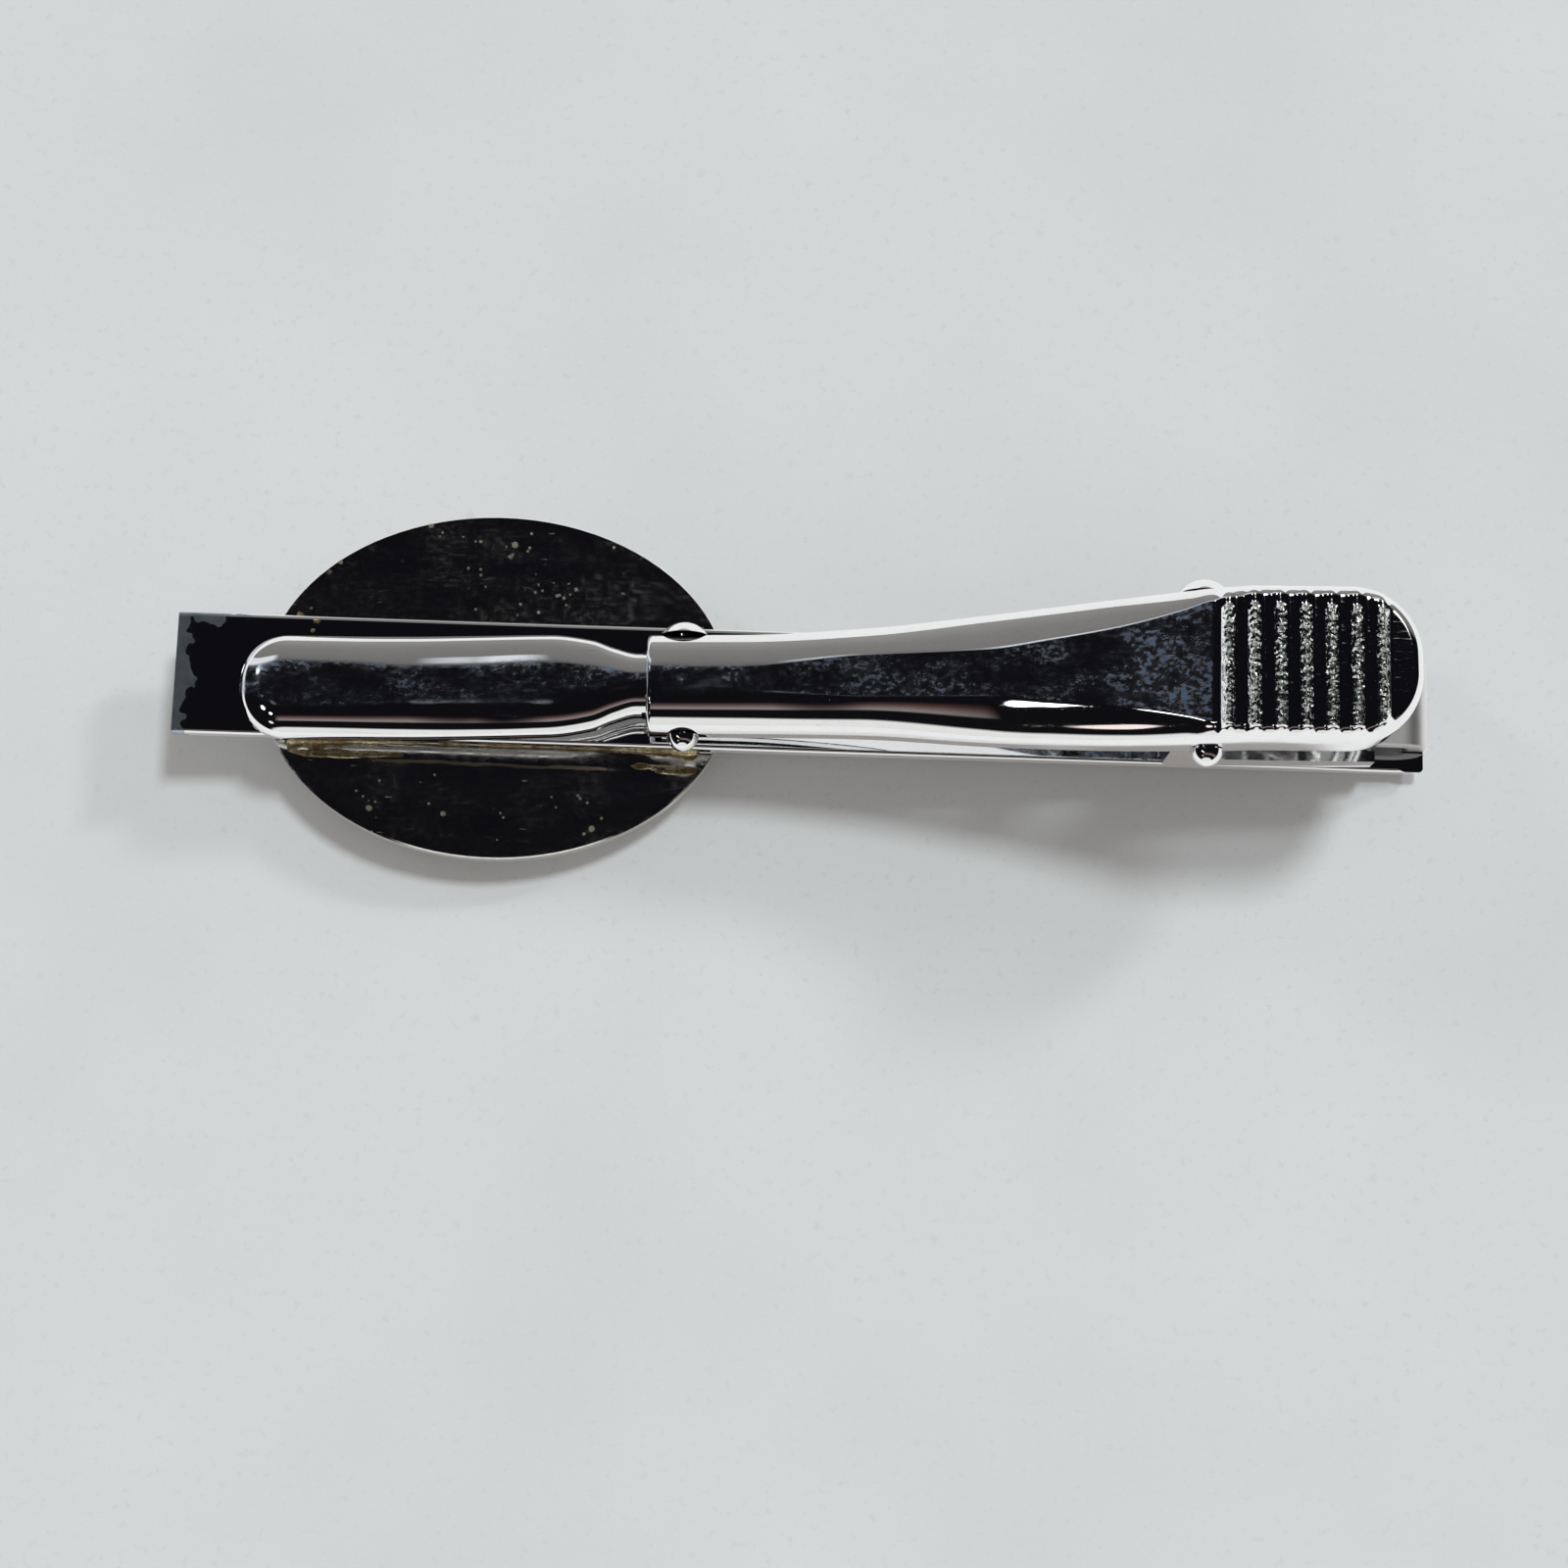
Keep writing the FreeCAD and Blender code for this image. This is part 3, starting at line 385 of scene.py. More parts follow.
def make_tongue():
    """Domed blade with a round tip and a narrow neck, with two lugs round its pin."""
    sheet = TONGUE["sheet"]
    length = TONGUE["length"]
    shares = np.linspace(sheet / 2 / length, 1 - TONGUE["corner"] / length, TONGUE["rows"])
    rows = [(TONGUE["start"] - share * length, tongue_row(share)) for share in shares]
    mesh = shell("tongue_shell", channel(rows, sheet, TONGUE["corner"], -1))
    add_lugs(mesh)
    piece = riding(mesh, "tongue")
    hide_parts("tongue")
    return piece


def lug_outline():
    """Along and up round a lug, whose end is an arc about the tongue's pin."""
    along, up = LUG["pin"]
    outline = [(LUG["back"], LUG["low"])]
    for step in range(LUG["arc_steps"] + 1):
        angle = math.radians(between(*LUG["arc"], step / LUG["arc_steps"]))
        outline.append((along + LUG["radius"] * math.cos(angle), up + LUG["radius"] * math.sin(angle)))
    outline.append((LUG["back"], LUG["high"]))
    return outline


def add_lugs(mesh):
    """Two round-ended lugs that carry the tongue's pin, added to the tongue's mesh."""
    work = bmesh.new()
    work.from_mesh(mesh)
    outline = lug_outline()
    for side in (-1, 1):
        loops = []
        for across in (side * LUG["half"], side * (LUG["half"] - LUG["sheet"])):
            points = turned([(x, across, z) for x, z in outline])
            loops.append([work.verts.new(point) for point in points])
        outer, inner = loops
        faces = [work.faces.new(outer), work.faces.new(list(reversed(inner)))]
        for index in range(len(outline)):
            after = (index + 1) % len(outline)
            faces.append(work.faces.new((outer[after], outer[index], inner[index], inner[after])))
        bmesh.ops.recalc_face_normals(work, faces=faces)
    work.to_mesh(mesh)
    work.free()


def spring_path():
    """Outside of the bent leaf, from the flat leg's end round the bend to the free tip: places along and
    up, and the way into the leaf's sheet."""
    outer = SPRING["outer"]
    leg_rows, bend_rows = SPRING["leg_rows"], SPRING["bend_rows"]
    middle = (SPRING["bend"], SPRING["floor"] + outer)
    tip = (SPRING["tip"], lever_row(SPRING["tip"])[1] - LEVER["sheet"] - SPRING["tip_gap"])
    span = math.hypot(tip[0] - middle[0], tip[1] - middle[1])
    slope = math.atan2(tip[1] - middle[1], tip[0] - middle[0]) - math.asin(outer / span)
    leg = math.sqrt(span ** 2 - outer ** 2)
    for step in range(leg_rows):
        yield SPRING["bend"] + SPRING["leg"] * (1 - step / leg_rows), SPRING["floor"], (0, 1)
    for step in range(bend_rows + 1):
        angle = between(-math.pi / 2, slope - 3 * math.pi / 2, step / bend_rows)
        out = (math.cos(angle), math.sin(angle))
        yield middle[0] + outer * out[0], middle[1] + outer * out[1], (-out[0], -out[1])
    rise = (math.cos(slope), math.sin(slope))
    inward = (math.sin(slope), -math.cos(slope))
    start = (middle[0] - outer * inward[0], middle[1] - outer * inward[1])
    for step in range(1, leg_rows + 1):
        far = leg * step / leg_rows
        yield start[0] + rise[0] * far, start[1] + rise[1] * far, inward


def make_lever_spring():
    """V of flat spring between the hinge base and the thumb pad, built in one shape as it stands when the
    clip is shut; the real leaf closes up as the clip opens.
    """
    work = bmesh.new()
    rings = []
    for x, z, into in spring_path():
        ring = []
        for side, share in ((-1, 0), (1, 0), (1, 1), (-1, 1)):
            deep = SPRING["sheet"] * share
            point = (x + into[0] * deep, side * SPRING["width"] / 2, z + into[1] * deep)
            ring.append(work.verts.new(turned([point])[0]))
        rings.append(ring)
    closed_tube(work, rings)
    piece = riding(smooth_mesh(work, "lever_spring_leaf", SHARP["leaf"]), "bar")
    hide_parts("lever_spring")
    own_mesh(piece)
    return piece


# Solder beside the strip: side, start and end along it, thin leg between the ends, and the two ends' legs.
BEADS = [
    (-1, -9.3, 9.2, 0.10, 0.42, 0.26),
    (1, -9.1, -6.4, 0.06, 0.30, 0.05),
    (1, 5.4, 9.2, 0.06, 0.05, 0.24),
]
# Form of a bead: rows along it and turns round it, the shares of its length over which its thick ends taper
# and its tips close, the least tip, and how far its fillet is hollowed and flattened.
BEAD = {"rows": 120, "turns": 8, "first_taper": 0.14, "last_taper": 0.12, "closing": 0.015, "least": 0.02,
        "hollow": 0.82, "flatten": 0.8}
# Swellings of a bead: share, how often along it, and the seeds by side and for all.
SWELLINGS = [(0.45, 1.7, 3.0, 0.2), (0.25, 5.3, 7.0, 4.1)]
# Spilt drops: middle along and across, the face they lie on, half length, half width, height.
DROPS = [
    (8.0, -3.55, OVAL_BACK, 1.15, 0.24, 0.09),
    (6.7, -3.45, OVAL_BACK, 0.55, 0.15, 0.06),
    (-7.2, -3.35, OVAL_BACK, 1.7, 0.22, 0.09),
    (-5.2, -3.30, OVAL_BACK, 1.1, 0.14, 0.05),
    (-8.05, 2.50, BACK, 0.17, 0.13, 0.10),
    (-8.20, 2.05, BACK, 0.10, 0.09, 0.06),
]
DROP = {"around": 40, "rings": 7, "lumps": 0.5, "lump_scale": 2.5}
# Unevenness of a drop's outline: share, and how often round it.
DROP_EDGE = [(0.38, 1.4), (0.18, 4.0)]


def bead_leg(share, along, side, thin, first_leg, last_leg):
    """How far a bead reaches from its corner, at a share of its length."""
    leg = thin + first_leg * math.exp(-(share / BEAD["first_taper"]) ** 2)
    leg += last_leg * math.exp(-((1 - share) / BEAD["last_taper"]) ** 2)
    for swelling, scale, side_seed, seed in SWELLINGS:
        leg *= 1 + swelling * field.noise(Vector((along * scale, side * side_seed, seed)))
    closing = min(1.0, min(share, 1 - share) / BEAD["closing"])
    return leg * (math.sqrt(closing) + BEAD["least"])


def bead_section(leg):
    """Across and up round a bead: its corner, then its hollow face from the oval's back to the strip."""
    section = [(HALF_BAR, OVAL_BACK)]
    for turn in range(BEAD["turns"] + 1):
        angle = turn / BEAD["turns"] * math.pi / 2
        across = HALF_BAR + leg * (1 - math.sin(angle) * BEAD["hollow"])
        up = OVAL_BACK + leg * (1 - math.cos(angle) * BEAD["hollow"]) * BEAD["flatten"]
        section.append((across, up))
    section[1] = (section[1][0], OVAL_BACK)
    section[-1] = (HALF_BAR, section[-1][1])
    return section


def add_bead(work, side, start, end, thin, first_leg, last_leg):
    """Fillet of solder in the corner between the strip's side and the oval's back, thicker at its ends."""
    rings = []
    for step in range(BEAD["rows"] + 1):
        share = step / BEAD["rows"]
        along = between(start, end, share)
        section = bead_section(bead_leg(share, along, side, thin, first_leg, last_leg))
        rings.append([work.verts.new((along * MM, side * across * MM, up * MM)) for across, up in section])
    closed_tube(work, rings)


def add_drop(work, along, across, level, half_length, half_width, height):
    """Low spilt drop of solder with an uneven outline."""
    loops = []
    for ring in range(DROP["rings"]):
        share = 1 - ring / DROP["rings"]
        loop = []
        for step in range(DROP["around"]):
            angle = step / DROP["around"] * 2 * math.pi
            way = Vector((math.cos(angle), math.sin(angle), along))
            uneven = 1 + sum(size * field.noise(way * scale) for size, scale in DROP_EDGE)
            x = along + half_length * share * uneven * math.cos(angle)
            y = across + half_width * share * uneven * math.sin(angle)
            spot = Vector((x * DROP["lump_scale"], y * DROP["lump_scale"], along))
            lumps = 1 + DROP["lumps"] * field.noise(spot)
            up = level + height * math.sqrt(max(0.0, 1 - share ** 2)) * lumps
            loop.append(work.verts.new((x * MM, y * MM, up * MM)))
        loops.append(loop)
    closed_tube(work, loops)


def make_solder():
    """Uneven solder that holds the oval on the strip, with drops that ran out over the oval's back."""
    work = bmesh.new()
    for bead in BEADS:
        add_bead(work, *bead)
    for drop in DROPS:
        add_drop(work, *drop)
    piece = riding(smooth_mesh(work, "solder_joint", SHARP["solder"]), "bar")
    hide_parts("solder_seams")
    return piece


lever = make_lever()
tongue = make_tongue()
spring = make_lever_spring()
solder = make_solder()


# Sockets of a colour mix node.
MIX_FACTOR, MIX_FIRST, MIX_LAST, MIX_RESULT = 0, 6, 7, 2


def add(tree, kind, inputs=None, **settings):
    """Node of a tree with its settings and the values of its inputs."""
    made = tree.nodes.new(kind)
    for key, value in settings.items():
        setattr(made, key, value)
    for key, value in (inputs or {}).items():
        made.inputs[key].default_value = value
    return made


def ramp(tree, source, stops):
    """Colour ramp fed by a factor. Stops are (place, grey or colour)."""
    made = tree.nodes.new("ShaderNodeValToRGB")
    band = made.color_ramp
    while len(band.elements) < len(stops):
        band.elements.new(0.5)
    for element, (place, value) in zip(band.elements, stops):
        element.position = place
        element.color = (value, value, value, 1) if isinstance(value, (int, float)) else (*value, 1)
    tree.links.new(source, made.inputs["Fac"])
    return made.outputs["Color"]


def placed(tree, coords, stretch, shift=(0, 0, 0), turn=0.0):
    """Coordinates in millimetres, turned about the upright axis by degrees and stretched."""
    made = add(tree, "ShaderNodeMapping", {
        "Scale": tuple(value / MM for value in stretch),
        "Location": shift,
        "Rotation": (0, 0, math.radians(turn)),
    })
    tree.links.new(coords, made.inputs["Vector"])
    return made.outputs["Vector"]


def noise(tree, coords, scale, stretch=(1, 1, 1), detail=4.0, rough=0.55, shift=(0, 0, 0), turn=0.0):
    """Noise over the object in millimetres, stretched along its axes."""
    made = add(tree, "ShaderNodeTexNoise", {"Scale": scale, "Detail": detail, "Roughness": rough})
    tree.links.new(placed(tree, coords, stretch, shift, turn), made.inputs["Vector"])
    return made.outputs["Fac"]


def mixed(tree, factor, first, last):
    """Colour mix. First and last are colours or sockets."""
    made = add(tree, "ShaderNodeMix", data_type="RGBA")
    for index, value in ((MIX_FIRST, first), (MIX_LAST, last)):
        if isinstance(value, tuple):
            made.inputs[index].default_value = (*value, 1)
        else:
            tree.links.new(value, made.inputs[index])
    tree.links.new(factor, made.inputs[MIX_FACTOR])
    return made.outputs[MIX_RESULT]


def math_node(tree, operation, first, last=0.0):
    """Result of an operation on numbers or sockets."""
    made = add(tree, "ShaderNodeMath", operation=operation)
    for socket, value in zip(made.inputs, (first, last)):
        if isinstance(value, (int, float)):
            socket.default_value = value
        else:
            tree.links.new(value, socket)
    return made.outputs[0]


def share_between(tree, value, none_at, full_at, easing="LINEAR"):
    """0 where a value is at none_at, 1 where it is at full_at, and between them on the way."""
    limits = {"From Min": none_at, "From Max": full_at, "To Min": 0.0, "To Max": 1.0}
    made = add(tree, "ShaderNodeMapRange", limits, interpolation_type=easing)
    tree.links.new(value, made.inputs["Value"])
    return made.outputs[0]


class Finish:
    """Metal surface that layers of wear are laid on. Each layer changes colour and roughness where its
    factor is high."""

    def __init__(self, name, tint, rough):
        """Bare metal, a little cloudy in colour and roughness."""
        self.material = bpy.data.materials.new(name)
        self.material.use_nodes = True
        self.tree = self.material.node_tree
        self.shader = self.tree.nodes["Principled BSDF"]
        self.shader.inputs["Metallic"].default_value = 1.0
        source = add(self.tree, "ShaderNodeTexCoord")
        self.coords = source.outputs["Object"]
        axes = add(self.tree, "ShaderNodeSeparateXYZ")
        self.tree.links.new(self.coords, axes.inputs[0])
        self.along, self.across, self.up = axes.outputs
        facing = add(self.tree, "ShaderNodeSeparateXYZ")
        self.tree.links.new(source.outputs["Normal"], facing.inputs[0])
        self.sideways = math_node(self.tree, "ABSOLUTE", facing.outputs[1])
        self.height = None
        cloudy = self.noise(0.9, detail=3.0, rough=0.5, shift=(4, 1, 2))
        darker = tuple(value * 0.93 for value in tint)
        self.colour = mixed(self.tree, cloudy, darker, tint)
        self.spread = self.sum(self.times(cloudy, rough), rough / 2)

    def noise(self, scale, **settings):
        """Noise over the piece."""
        return noise(self.tree, self.coords, scale, **settings)

    def patches(self, scale, stops, **settings):
        """Noise over the piece, passed through a ramp."""
        return ramp(self.tree, self.noise(scale, **settings), stops)

    def dots(self, scale, size, stretch=(1, 1, 1), shift=(0, 0, 0), turn=0.0):
        """Small spots scattered over the piece, long ones where stretched."""
        made = add(self.tree, "ShaderNodeTexVoronoi", {"Scale": scale, "Randomness": 1.0})
        self.tree.links.new(placed(self.tree, self.coords, stretch, shift, turn), made.inputs["Vector"])
        return ramp(self.tree, made.outputs["Distance"], [(size * 0.5, 1.0), (size, 0.0)])

    def times(self, *factors):
        """Product of numbers or sockets."""
        result = factors[0]
        for factor in factors[1:]:
            result = math_node(self.tree, "MULTIPLY", result, factor)
        return result

    def sum(self, *terms):
        """Sum of numbers or sockets."""
        result = terms[0]
        for term in terms[1:]:
            result = math_node(self.tree, "ADD", result, term)
        return result

    def fade(self, length, none_at, full_at):
        """0 where a length is none_at millimetres, 1 where it is full_at, smooth between."""
        return share_between(self.tree, length, none_at * MM, full_at * MM, "SMOOTHSTEP")

    def layer(self, factor, tint, rough):
        """Tint and roughen where the factor is high."""
        self.colour = mixed(self.tree, factor, self.colour, tint)
        self.spread = self.sum(self.spread, self.times(factor, rough))

    def emboss(self, factor, height):
        """Raise the surface by a height in millimetres where the factor is high."""
        raised = self.times(factor, height * MM)
        self.height = raised if self.height is None else self.sum(self.height, raised)

    def hairs(self, share=1.0, turn=0.0):
        """Fine wiping scratches, mostly along the clip."""
        lines = self.patches(1.0, [(0.60, 0.0), (0.70, 1.0)], stretch=(0.5, 11.0, 11.0), detail=3.0,
                             rough=0.7, shift=(3.1, 1.7, 0.4), turn=turn)
        self.layer(self.times(lines, 0.35 * share), HAIR_GREY, 0.16)
        self.emboss(lines, -0.0002 * share)

    def nicks(self, share, tint):
        """Short scratches in several directions."""
        for turn, shift in ((12, 1.0), (-35, 4.0), (70, 8.0)):
            spots = self.dots(1.0, 0.06, (0.32, 2.6, 1.0), (shift, shift, 0), turn)
            rare = self.patches(0.35, [(0.5, 0.0), (0.62, 1.0)], shift=(shift, 2, 5))
            self.layer(self.times(spots, rare, share), tint, 0.45)

    def crown(self, widest):
        """1 on the faces that look up, 0 where they lean sideways by more than the widest share."""
        return ramp(self.tree, self.sideways, [(widest * 0.5, 1.0), (widest, 0.0)])

    def haze(self, window, tint, share):
        """Wiped residue that scatters light, in soft clouds of fine flecks."""
        flecks = self.patches(4.5, [(0.42, 0.0), (0.62, 1.0)], stretch=(0.7, 1.1, 1.0), detail=5.0,
                              rough=0.65)
        clouds = self.patches(0.55, [(0.34, 0.22), (0.60, 1.0)], stretch=(0.6, 1.2, 1.0), rough=0.6,
                              shift=(6, 3, 1))
        broken = self.sum(self.times(flecks, 0.7), 0.3)
        mottled = mixed(self.tree, flecks, tuple(value * 0.3 for value in tint), tint)
        self.layer(self.times(clouds, broken, window, share), mottled, 0.45)

    def swell(self, height):
        """Slow waves of polished sheet, which bend what it mirrors."""
        waves = self.noise(0.22, stretch=(1, 1.2, 1), detail=1.0, rough=0.4, shift=(2, 5, 0))
        self.emboss(waves, height)

    def done(self):
        """Material with its layers joined to the shader."""
        self.tree.links.new(self.colour, self.shader.inputs["Base Color"])
        self.tree.links.new(self.spread, self.shader.inputs["Roughness"])
        if self.height is not None:
            bump = add(self.tree, "ShaderNodeBump", {"Strength": 1.0, "Distance": 1.0})
            self.tree.links.new(self.height, bump.inputs["Height"])
            self.tree.links.new(bump.outputs["Normal"], self.shader.inputs["Normal"])
        return self.material


def paint(target, material):
    """Give an object this material alone."""
    target.data.materials.clear()
    target.data.materials.append(material)


CHROME = (0.93, 0.935, 0.94)
OVAL_CHROME = (0.90, 0.90, 0.88)
HAIR_GREY = (0.50, 0.54, 0.60)
NICK_GREY = (0.5, 0.5, 0.5)
BLUE_HAZE = (0.34, 0.54, 0.92)
RIB_WEAR = (0.92, 0.99, 0.92)
# Dark to pale bluish mottle laid on the margin round the strip's square end and on its sides near that end.
BLUISH_EDGE_MOTTLE = ((0.12, 0.18, 0.22), (0.58, 0.68, 0.74))
SATIN = (0.90, 0.90, 0.89)
GOLD_RESIDUE = (0.74, 0.66, 0.42)
OVAL_FILM = (0.30, 0.34, 0.27)
FLUX_FILM = (0.36, 0.28, 0.14)
FLUX_BROWN = (0.42, 0.30, 0.16)
SOLDER = {"metal": (0.66, 0.57, 0.36), "flux": (0.26, 0.17, 0.07), "thin": (0.15, 0.10, 0.06)}
STEEL = {"metal": (0.56, 0.56, 0.57), "tarnish": (0.36, 0.30, 0.24)}
# Thin line of flux on the oval's back, this far south of the strip's middle.
FLUX_LINE = HALF_BAR + 0.70


def worn_ribs(finish):
    """Sparkling wear along the crests of the thumb pad's ribs."""
    tree = finish.tree
    past_first = math_node(tree, "SUBTRACT", finish.along, RIBS["first"] * MM)
    ribs_past = math_node(tree, "DIVIDE", past_first, RIBS["pitch"] * MM)
    off = math_node(tree, "SUBTRACT", math_node(tree, "FRACT", finish.sum(ribs_past, 0.5)), 0.5)
    crest = ramp(tree, math_node(tree, "ABSOLUTE", off), [(0.05, 1.0), (0.26, 0.0)])
    start = finish.fade(finish.along, PIVOT + 0.2, PIVOT + 0.4)
    end = finish.fade(finish.along, PIVOT + 7.5, PIVOT + 7.3)
    north_end = finish.fade(finish.across, 2.5, 2.1)
    worn = finish.times(crest, start, end, north_end, finish.crown(0.5))
    mottled = finish.patches(5.0, [(0.40, 0.10), (0.58, 1.0)], rough=0.6)
    finish.layer(finish.times(worn, mottled), RIB_WEAR, 0.30)
    grains = finish.noise(3.4, detail=1.5, shift=(3, 3, 3))
    finish.emboss(finish.times(worn, grains), 0.15)


def lever_chrome():
    """Bright plating with a bluish wiped haze, strongest on the facet before the ribs."""
    finish = Finish("chrome_plate_lever", CHROME, 0.03)
    finish.hairs()
    facet = finish.crown(0.22)
    rising = finish.fade(finish.along, PIVOT - 9.5, PIVOT - 2.0)
    before_step = finish.fade(finish.along, PIVOT + 0.1, PIVOT - 0.1)
    finish.haze(finish.times(rising, before_step, facet), BLUE_HAZE, 0.95)
    front = finish.fade(finish.along, PIVOT - 4.0, PIVOT - 9.0)
    finish.haze(finish.times(front, facet), BLUE_HAZE, 0.70)
    worn_ribs(finish)
    finish.swell(0.003)
    return finish.done()


def tongue_chrome():
    """Bright plating with a bluish haze, strongest near the neck, and long wiping marks."""
    finish = Finish("chrome_plate_tongue", CHROME, 0.03)
    finish.hairs()
    crown = finish.crown(0.18)
    neck = finish.times(finish.fade(finish.along, 0.0, 3.5), finish.fade(finish.across, -1.2, 0.0))
    finish.haze(finish.times(neck, crown), BLUE_HAZE, 1.0)
    blade = finish.fade(finish.along, 6.0, -2.0)
    finish.haze(finish.times(blade, crown), BLUE_HAZE, 0.75)
    finish.swell(0.004)
    return finish.done()


def strip_chrome():
    """Bright plating with a dull, darker bluish mottled margin round the strip's square end, and a satin
    folded end."""
    finish = Finish("chrome_plate_strip", CHROME, 0.025)
    finish.hairs(0.6)
    tree = finish.tree
    ragged = finish.times(finish.noise(0.9, detail=2.0, shift=(1, 1, 1)), 2.0 * MM)
    from_end = finish.sum(finish.along, ragged)
    end_margin = finish.fade(from_end, BAR_START + 1.70, BAR_START + 1.55)
    from_side = math_node(tree, "SUBTRACT", finish.across, ragged)
    side_margin = finish.fade(from_side, HALF_BAR - 1.50, HALF_BAR - 1.35)
    near_end = finish.fade(finish.along, BAR_START + 3.4, BAR_START + 2.6)
    margin = math_node(tree, "MAXIMUM", end_margin, finish.times(side_margin, near_end))
    mottled = mixed(tree, finish.noise(1.6, detail=3.0), *BLUISH_EDGE_MOTTLE)
    finish.layer(finish.times(margin, 0.9), mottled, 0.38)
    folded = finish.fade(finish.up, BACK + 0.1, BACK + 0.3)
    finish.layer(finish.times(folded, 0.9), SATIN, 0.50)
    finish.nicks(0.5, GOLD_RESIDUE)
    finish.swell(0.002)
    return finish.done()


def oval_flux(finish):
    """Brown film of flux beside the strip on the south, and a thin line of it further out."""
    ragged = finish.times(finish.noise(1.1, stretch=(0.6, 1.4, 1.0), shift=(2, 9, 1)), 1.6 * MM)
    beside = finish.fade(finish.sum(finish.across, ragged), -HALF_BAR + 0.05, -HALF_BAR + 0.35)
    south = finish.fade(finish.across, -2.0, -2.6)
    blotches = finish.patches(2.0, [(0.38, 0.2), (0.6, 1.0)], detail=5.0)
    finish.layer(finish.times(beside, south, blotches, 0.30), FLUX_FILM, 0.3)
    bent = finish.times(finish.noise(0.5, detail=2.0, shift=(5, 5, 1)), 0.3 * MM)
    off_line = math_node(finish.tree, "ABSOLUTE", finish.sum(finish.across, bent, FLUX_LINE * MM))
    line = finish.fade(off_line, 0.10, 0.04)
    west_end = finish.fade(finish.along, -6.0, -4.5)
    east_end = finish.fade(finish.along, 6.5, 4.0)
    finish.layer(finish.times(line, west_end, east_end, 0.85), FLUX_BROWN, 0.35)


def oval_chrome():
    """Bright plating under a faint film, with golden specks and nicks, and flux beside the strip."""
    finish = Finish("chrome_plate_oval", OVAL_CHROME, 0.03)
    finish.hairs(0.5, 25)
    finish.nicks(1.0, GOLD_RESIDUE)
    finish.haze(1.0, OVAL_FILM, 0.40)
    for scale, size, shift in ((2.4, 0.20, 7), (0.9, 0.17, 3)):
        specks = finish.dots(scale, size, shift=(shift, shift, 0))
        rare = finish.patches(0.4, [(0.52, 0.0), (0.62, 1.0)], shift=(shift, 2, 1))
        finish.layer(finish.times(specks, rare, 0.8), GOLD_RESIDUE, 0.5)
    oval_flux(finish)
    return finish.done()


def plain_chrome(name, rough):
    """Bright plating with wiping scratches and a few grey nicks."""
    finish = Finish(name, CHROME, rough)
    finish.hairs(0.7)
    finish.nicks(0.4, NICK_GREY)
    return finish.done()


def solder_metal():
    """Lumpy solder with brown flux left in its hollows, darkest where it is thin."""
    finish = Finish("solder_metal", SOLDER["metal"], 0.26)
    flux = finish.patches(1.6, [(0.45, 0.0), (0.58, 1.0)], detail=5.0, rough=0.65)
    finish.layer(finish.times(flux, 0.85), SOLDER["flux"], 0.25)
    thin = finish.times(finish.fade(finish.along, -5.5, -3.0), finish.fade(finish.along, 7.0, 4.5))
    finish.layer(finish.times(thin, 0.75), SOLDER["thin"], 0.1)
    finish.emboss(finish.noise(4.5, detail=3.0, shift=(1, 8, 3)), 0.05)
    return finish.done()


def spring_metal():
    """Grey spring steel with the grain of rolled strip and a little tarnish."""
    finish = Finish("spring_steel_leaf", STEEL["metal"], 0.2)
    finish.hairs()
    tarnish = finish.patches(0.8, [(0.48, 0.0), (0.68, 1.0)], detail=5.0)
    finish.layer(finish.times(tarnish, 0.6), STEEL["tarnish"], 0.15)
    return finish.done()


paint(lever, lever_chrome())
paint(tongue, tongue_chrome())
paint(nodes["front_bar"], strip_chrome())
paint(nodes["oval_plate"], oval_chrome())
paint(nodes["hinge_base"], plain_chrome("chrome_plate_base", 0.06))
pins = plain_chrome("chrome_plate_pins", 0.05)
paint(nodes["lever_pin"], pins)
paint(nodes["tongue_pin"], pins)
paint(solder, solder_metal())
steel = spring_metal()
paint(spring, steel)
paint(nodes["spring_rivet"], steel)
paint(nodes["tongue_spring"], steel)

# Paper under the clip: its colour, the brighter one that the plating mirrors, and half its side in metres.
PAPER = (0.640, 0.660, 0.662)
MIRRORED_PAPER = (0.90, 0.90, 0.89)
PAPER_HALF = 2.0
# The clip leans on the oval's rim and on the folded end, this far in from the ends of each.
RIM_REST = 0.6
FOLD_REST = 1.3


def shaded(colour, share):
    """Colour made darker or lighter by a share."""
    return tuple(value * share for value in colour)


def paper_material():
    """Pale paper with slow clouds and fine fibres."""
    material = bpy.data.materials.new("paper_sheet")
    material.use_nodes = True
    tree = material.node_tree
    shader = tree.nodes["Principled BSDF"]
    coords = add(tree, "ShaderNodeTexCoord").outputs["Object"]
    cloudy = ramp(tree, noise(tree, coords, 0.05, detail=3.0, rough=0.5), [(0.35, 0.0), (0.65, 1.0)])
    pale = mixed(tree, cloudy, shaded(PAPER, 0.97), shaded(PAPER, 1.02))
    fibres = noise(tree, coords, 2.2, detail=4.0, rough=0.6)
    between_fibres = ramp(tree, fibres, [(0.30, 0.0), (0.42, 1.0)])
    pale = mixed(tree, between_fibres, shaded(PAPER, 0.93), pale)
    light = add(tree, "ShaderNodeLightPath")
    pale = mixed(tree, light.outputs["Is Glossy Ray"], pale, MIRRORED_PAPER)
    tree.links.new(pale, shader.inputs["Base Color"])
    shader.inputs["Roughness"].default_value = 0.85
    shader.inputs["Specular IOR Level"].default_value = 0.15
    bump = add(tree, "ShaderNodeBump", {"Strength": 0.15, "Distance": 0.04 * MM})
    tree.links.new(fibres, bump.inputs["Height"])
    tree.links.new(bump.outputs["Normal"], shader.inputs["Normal"])
    return material


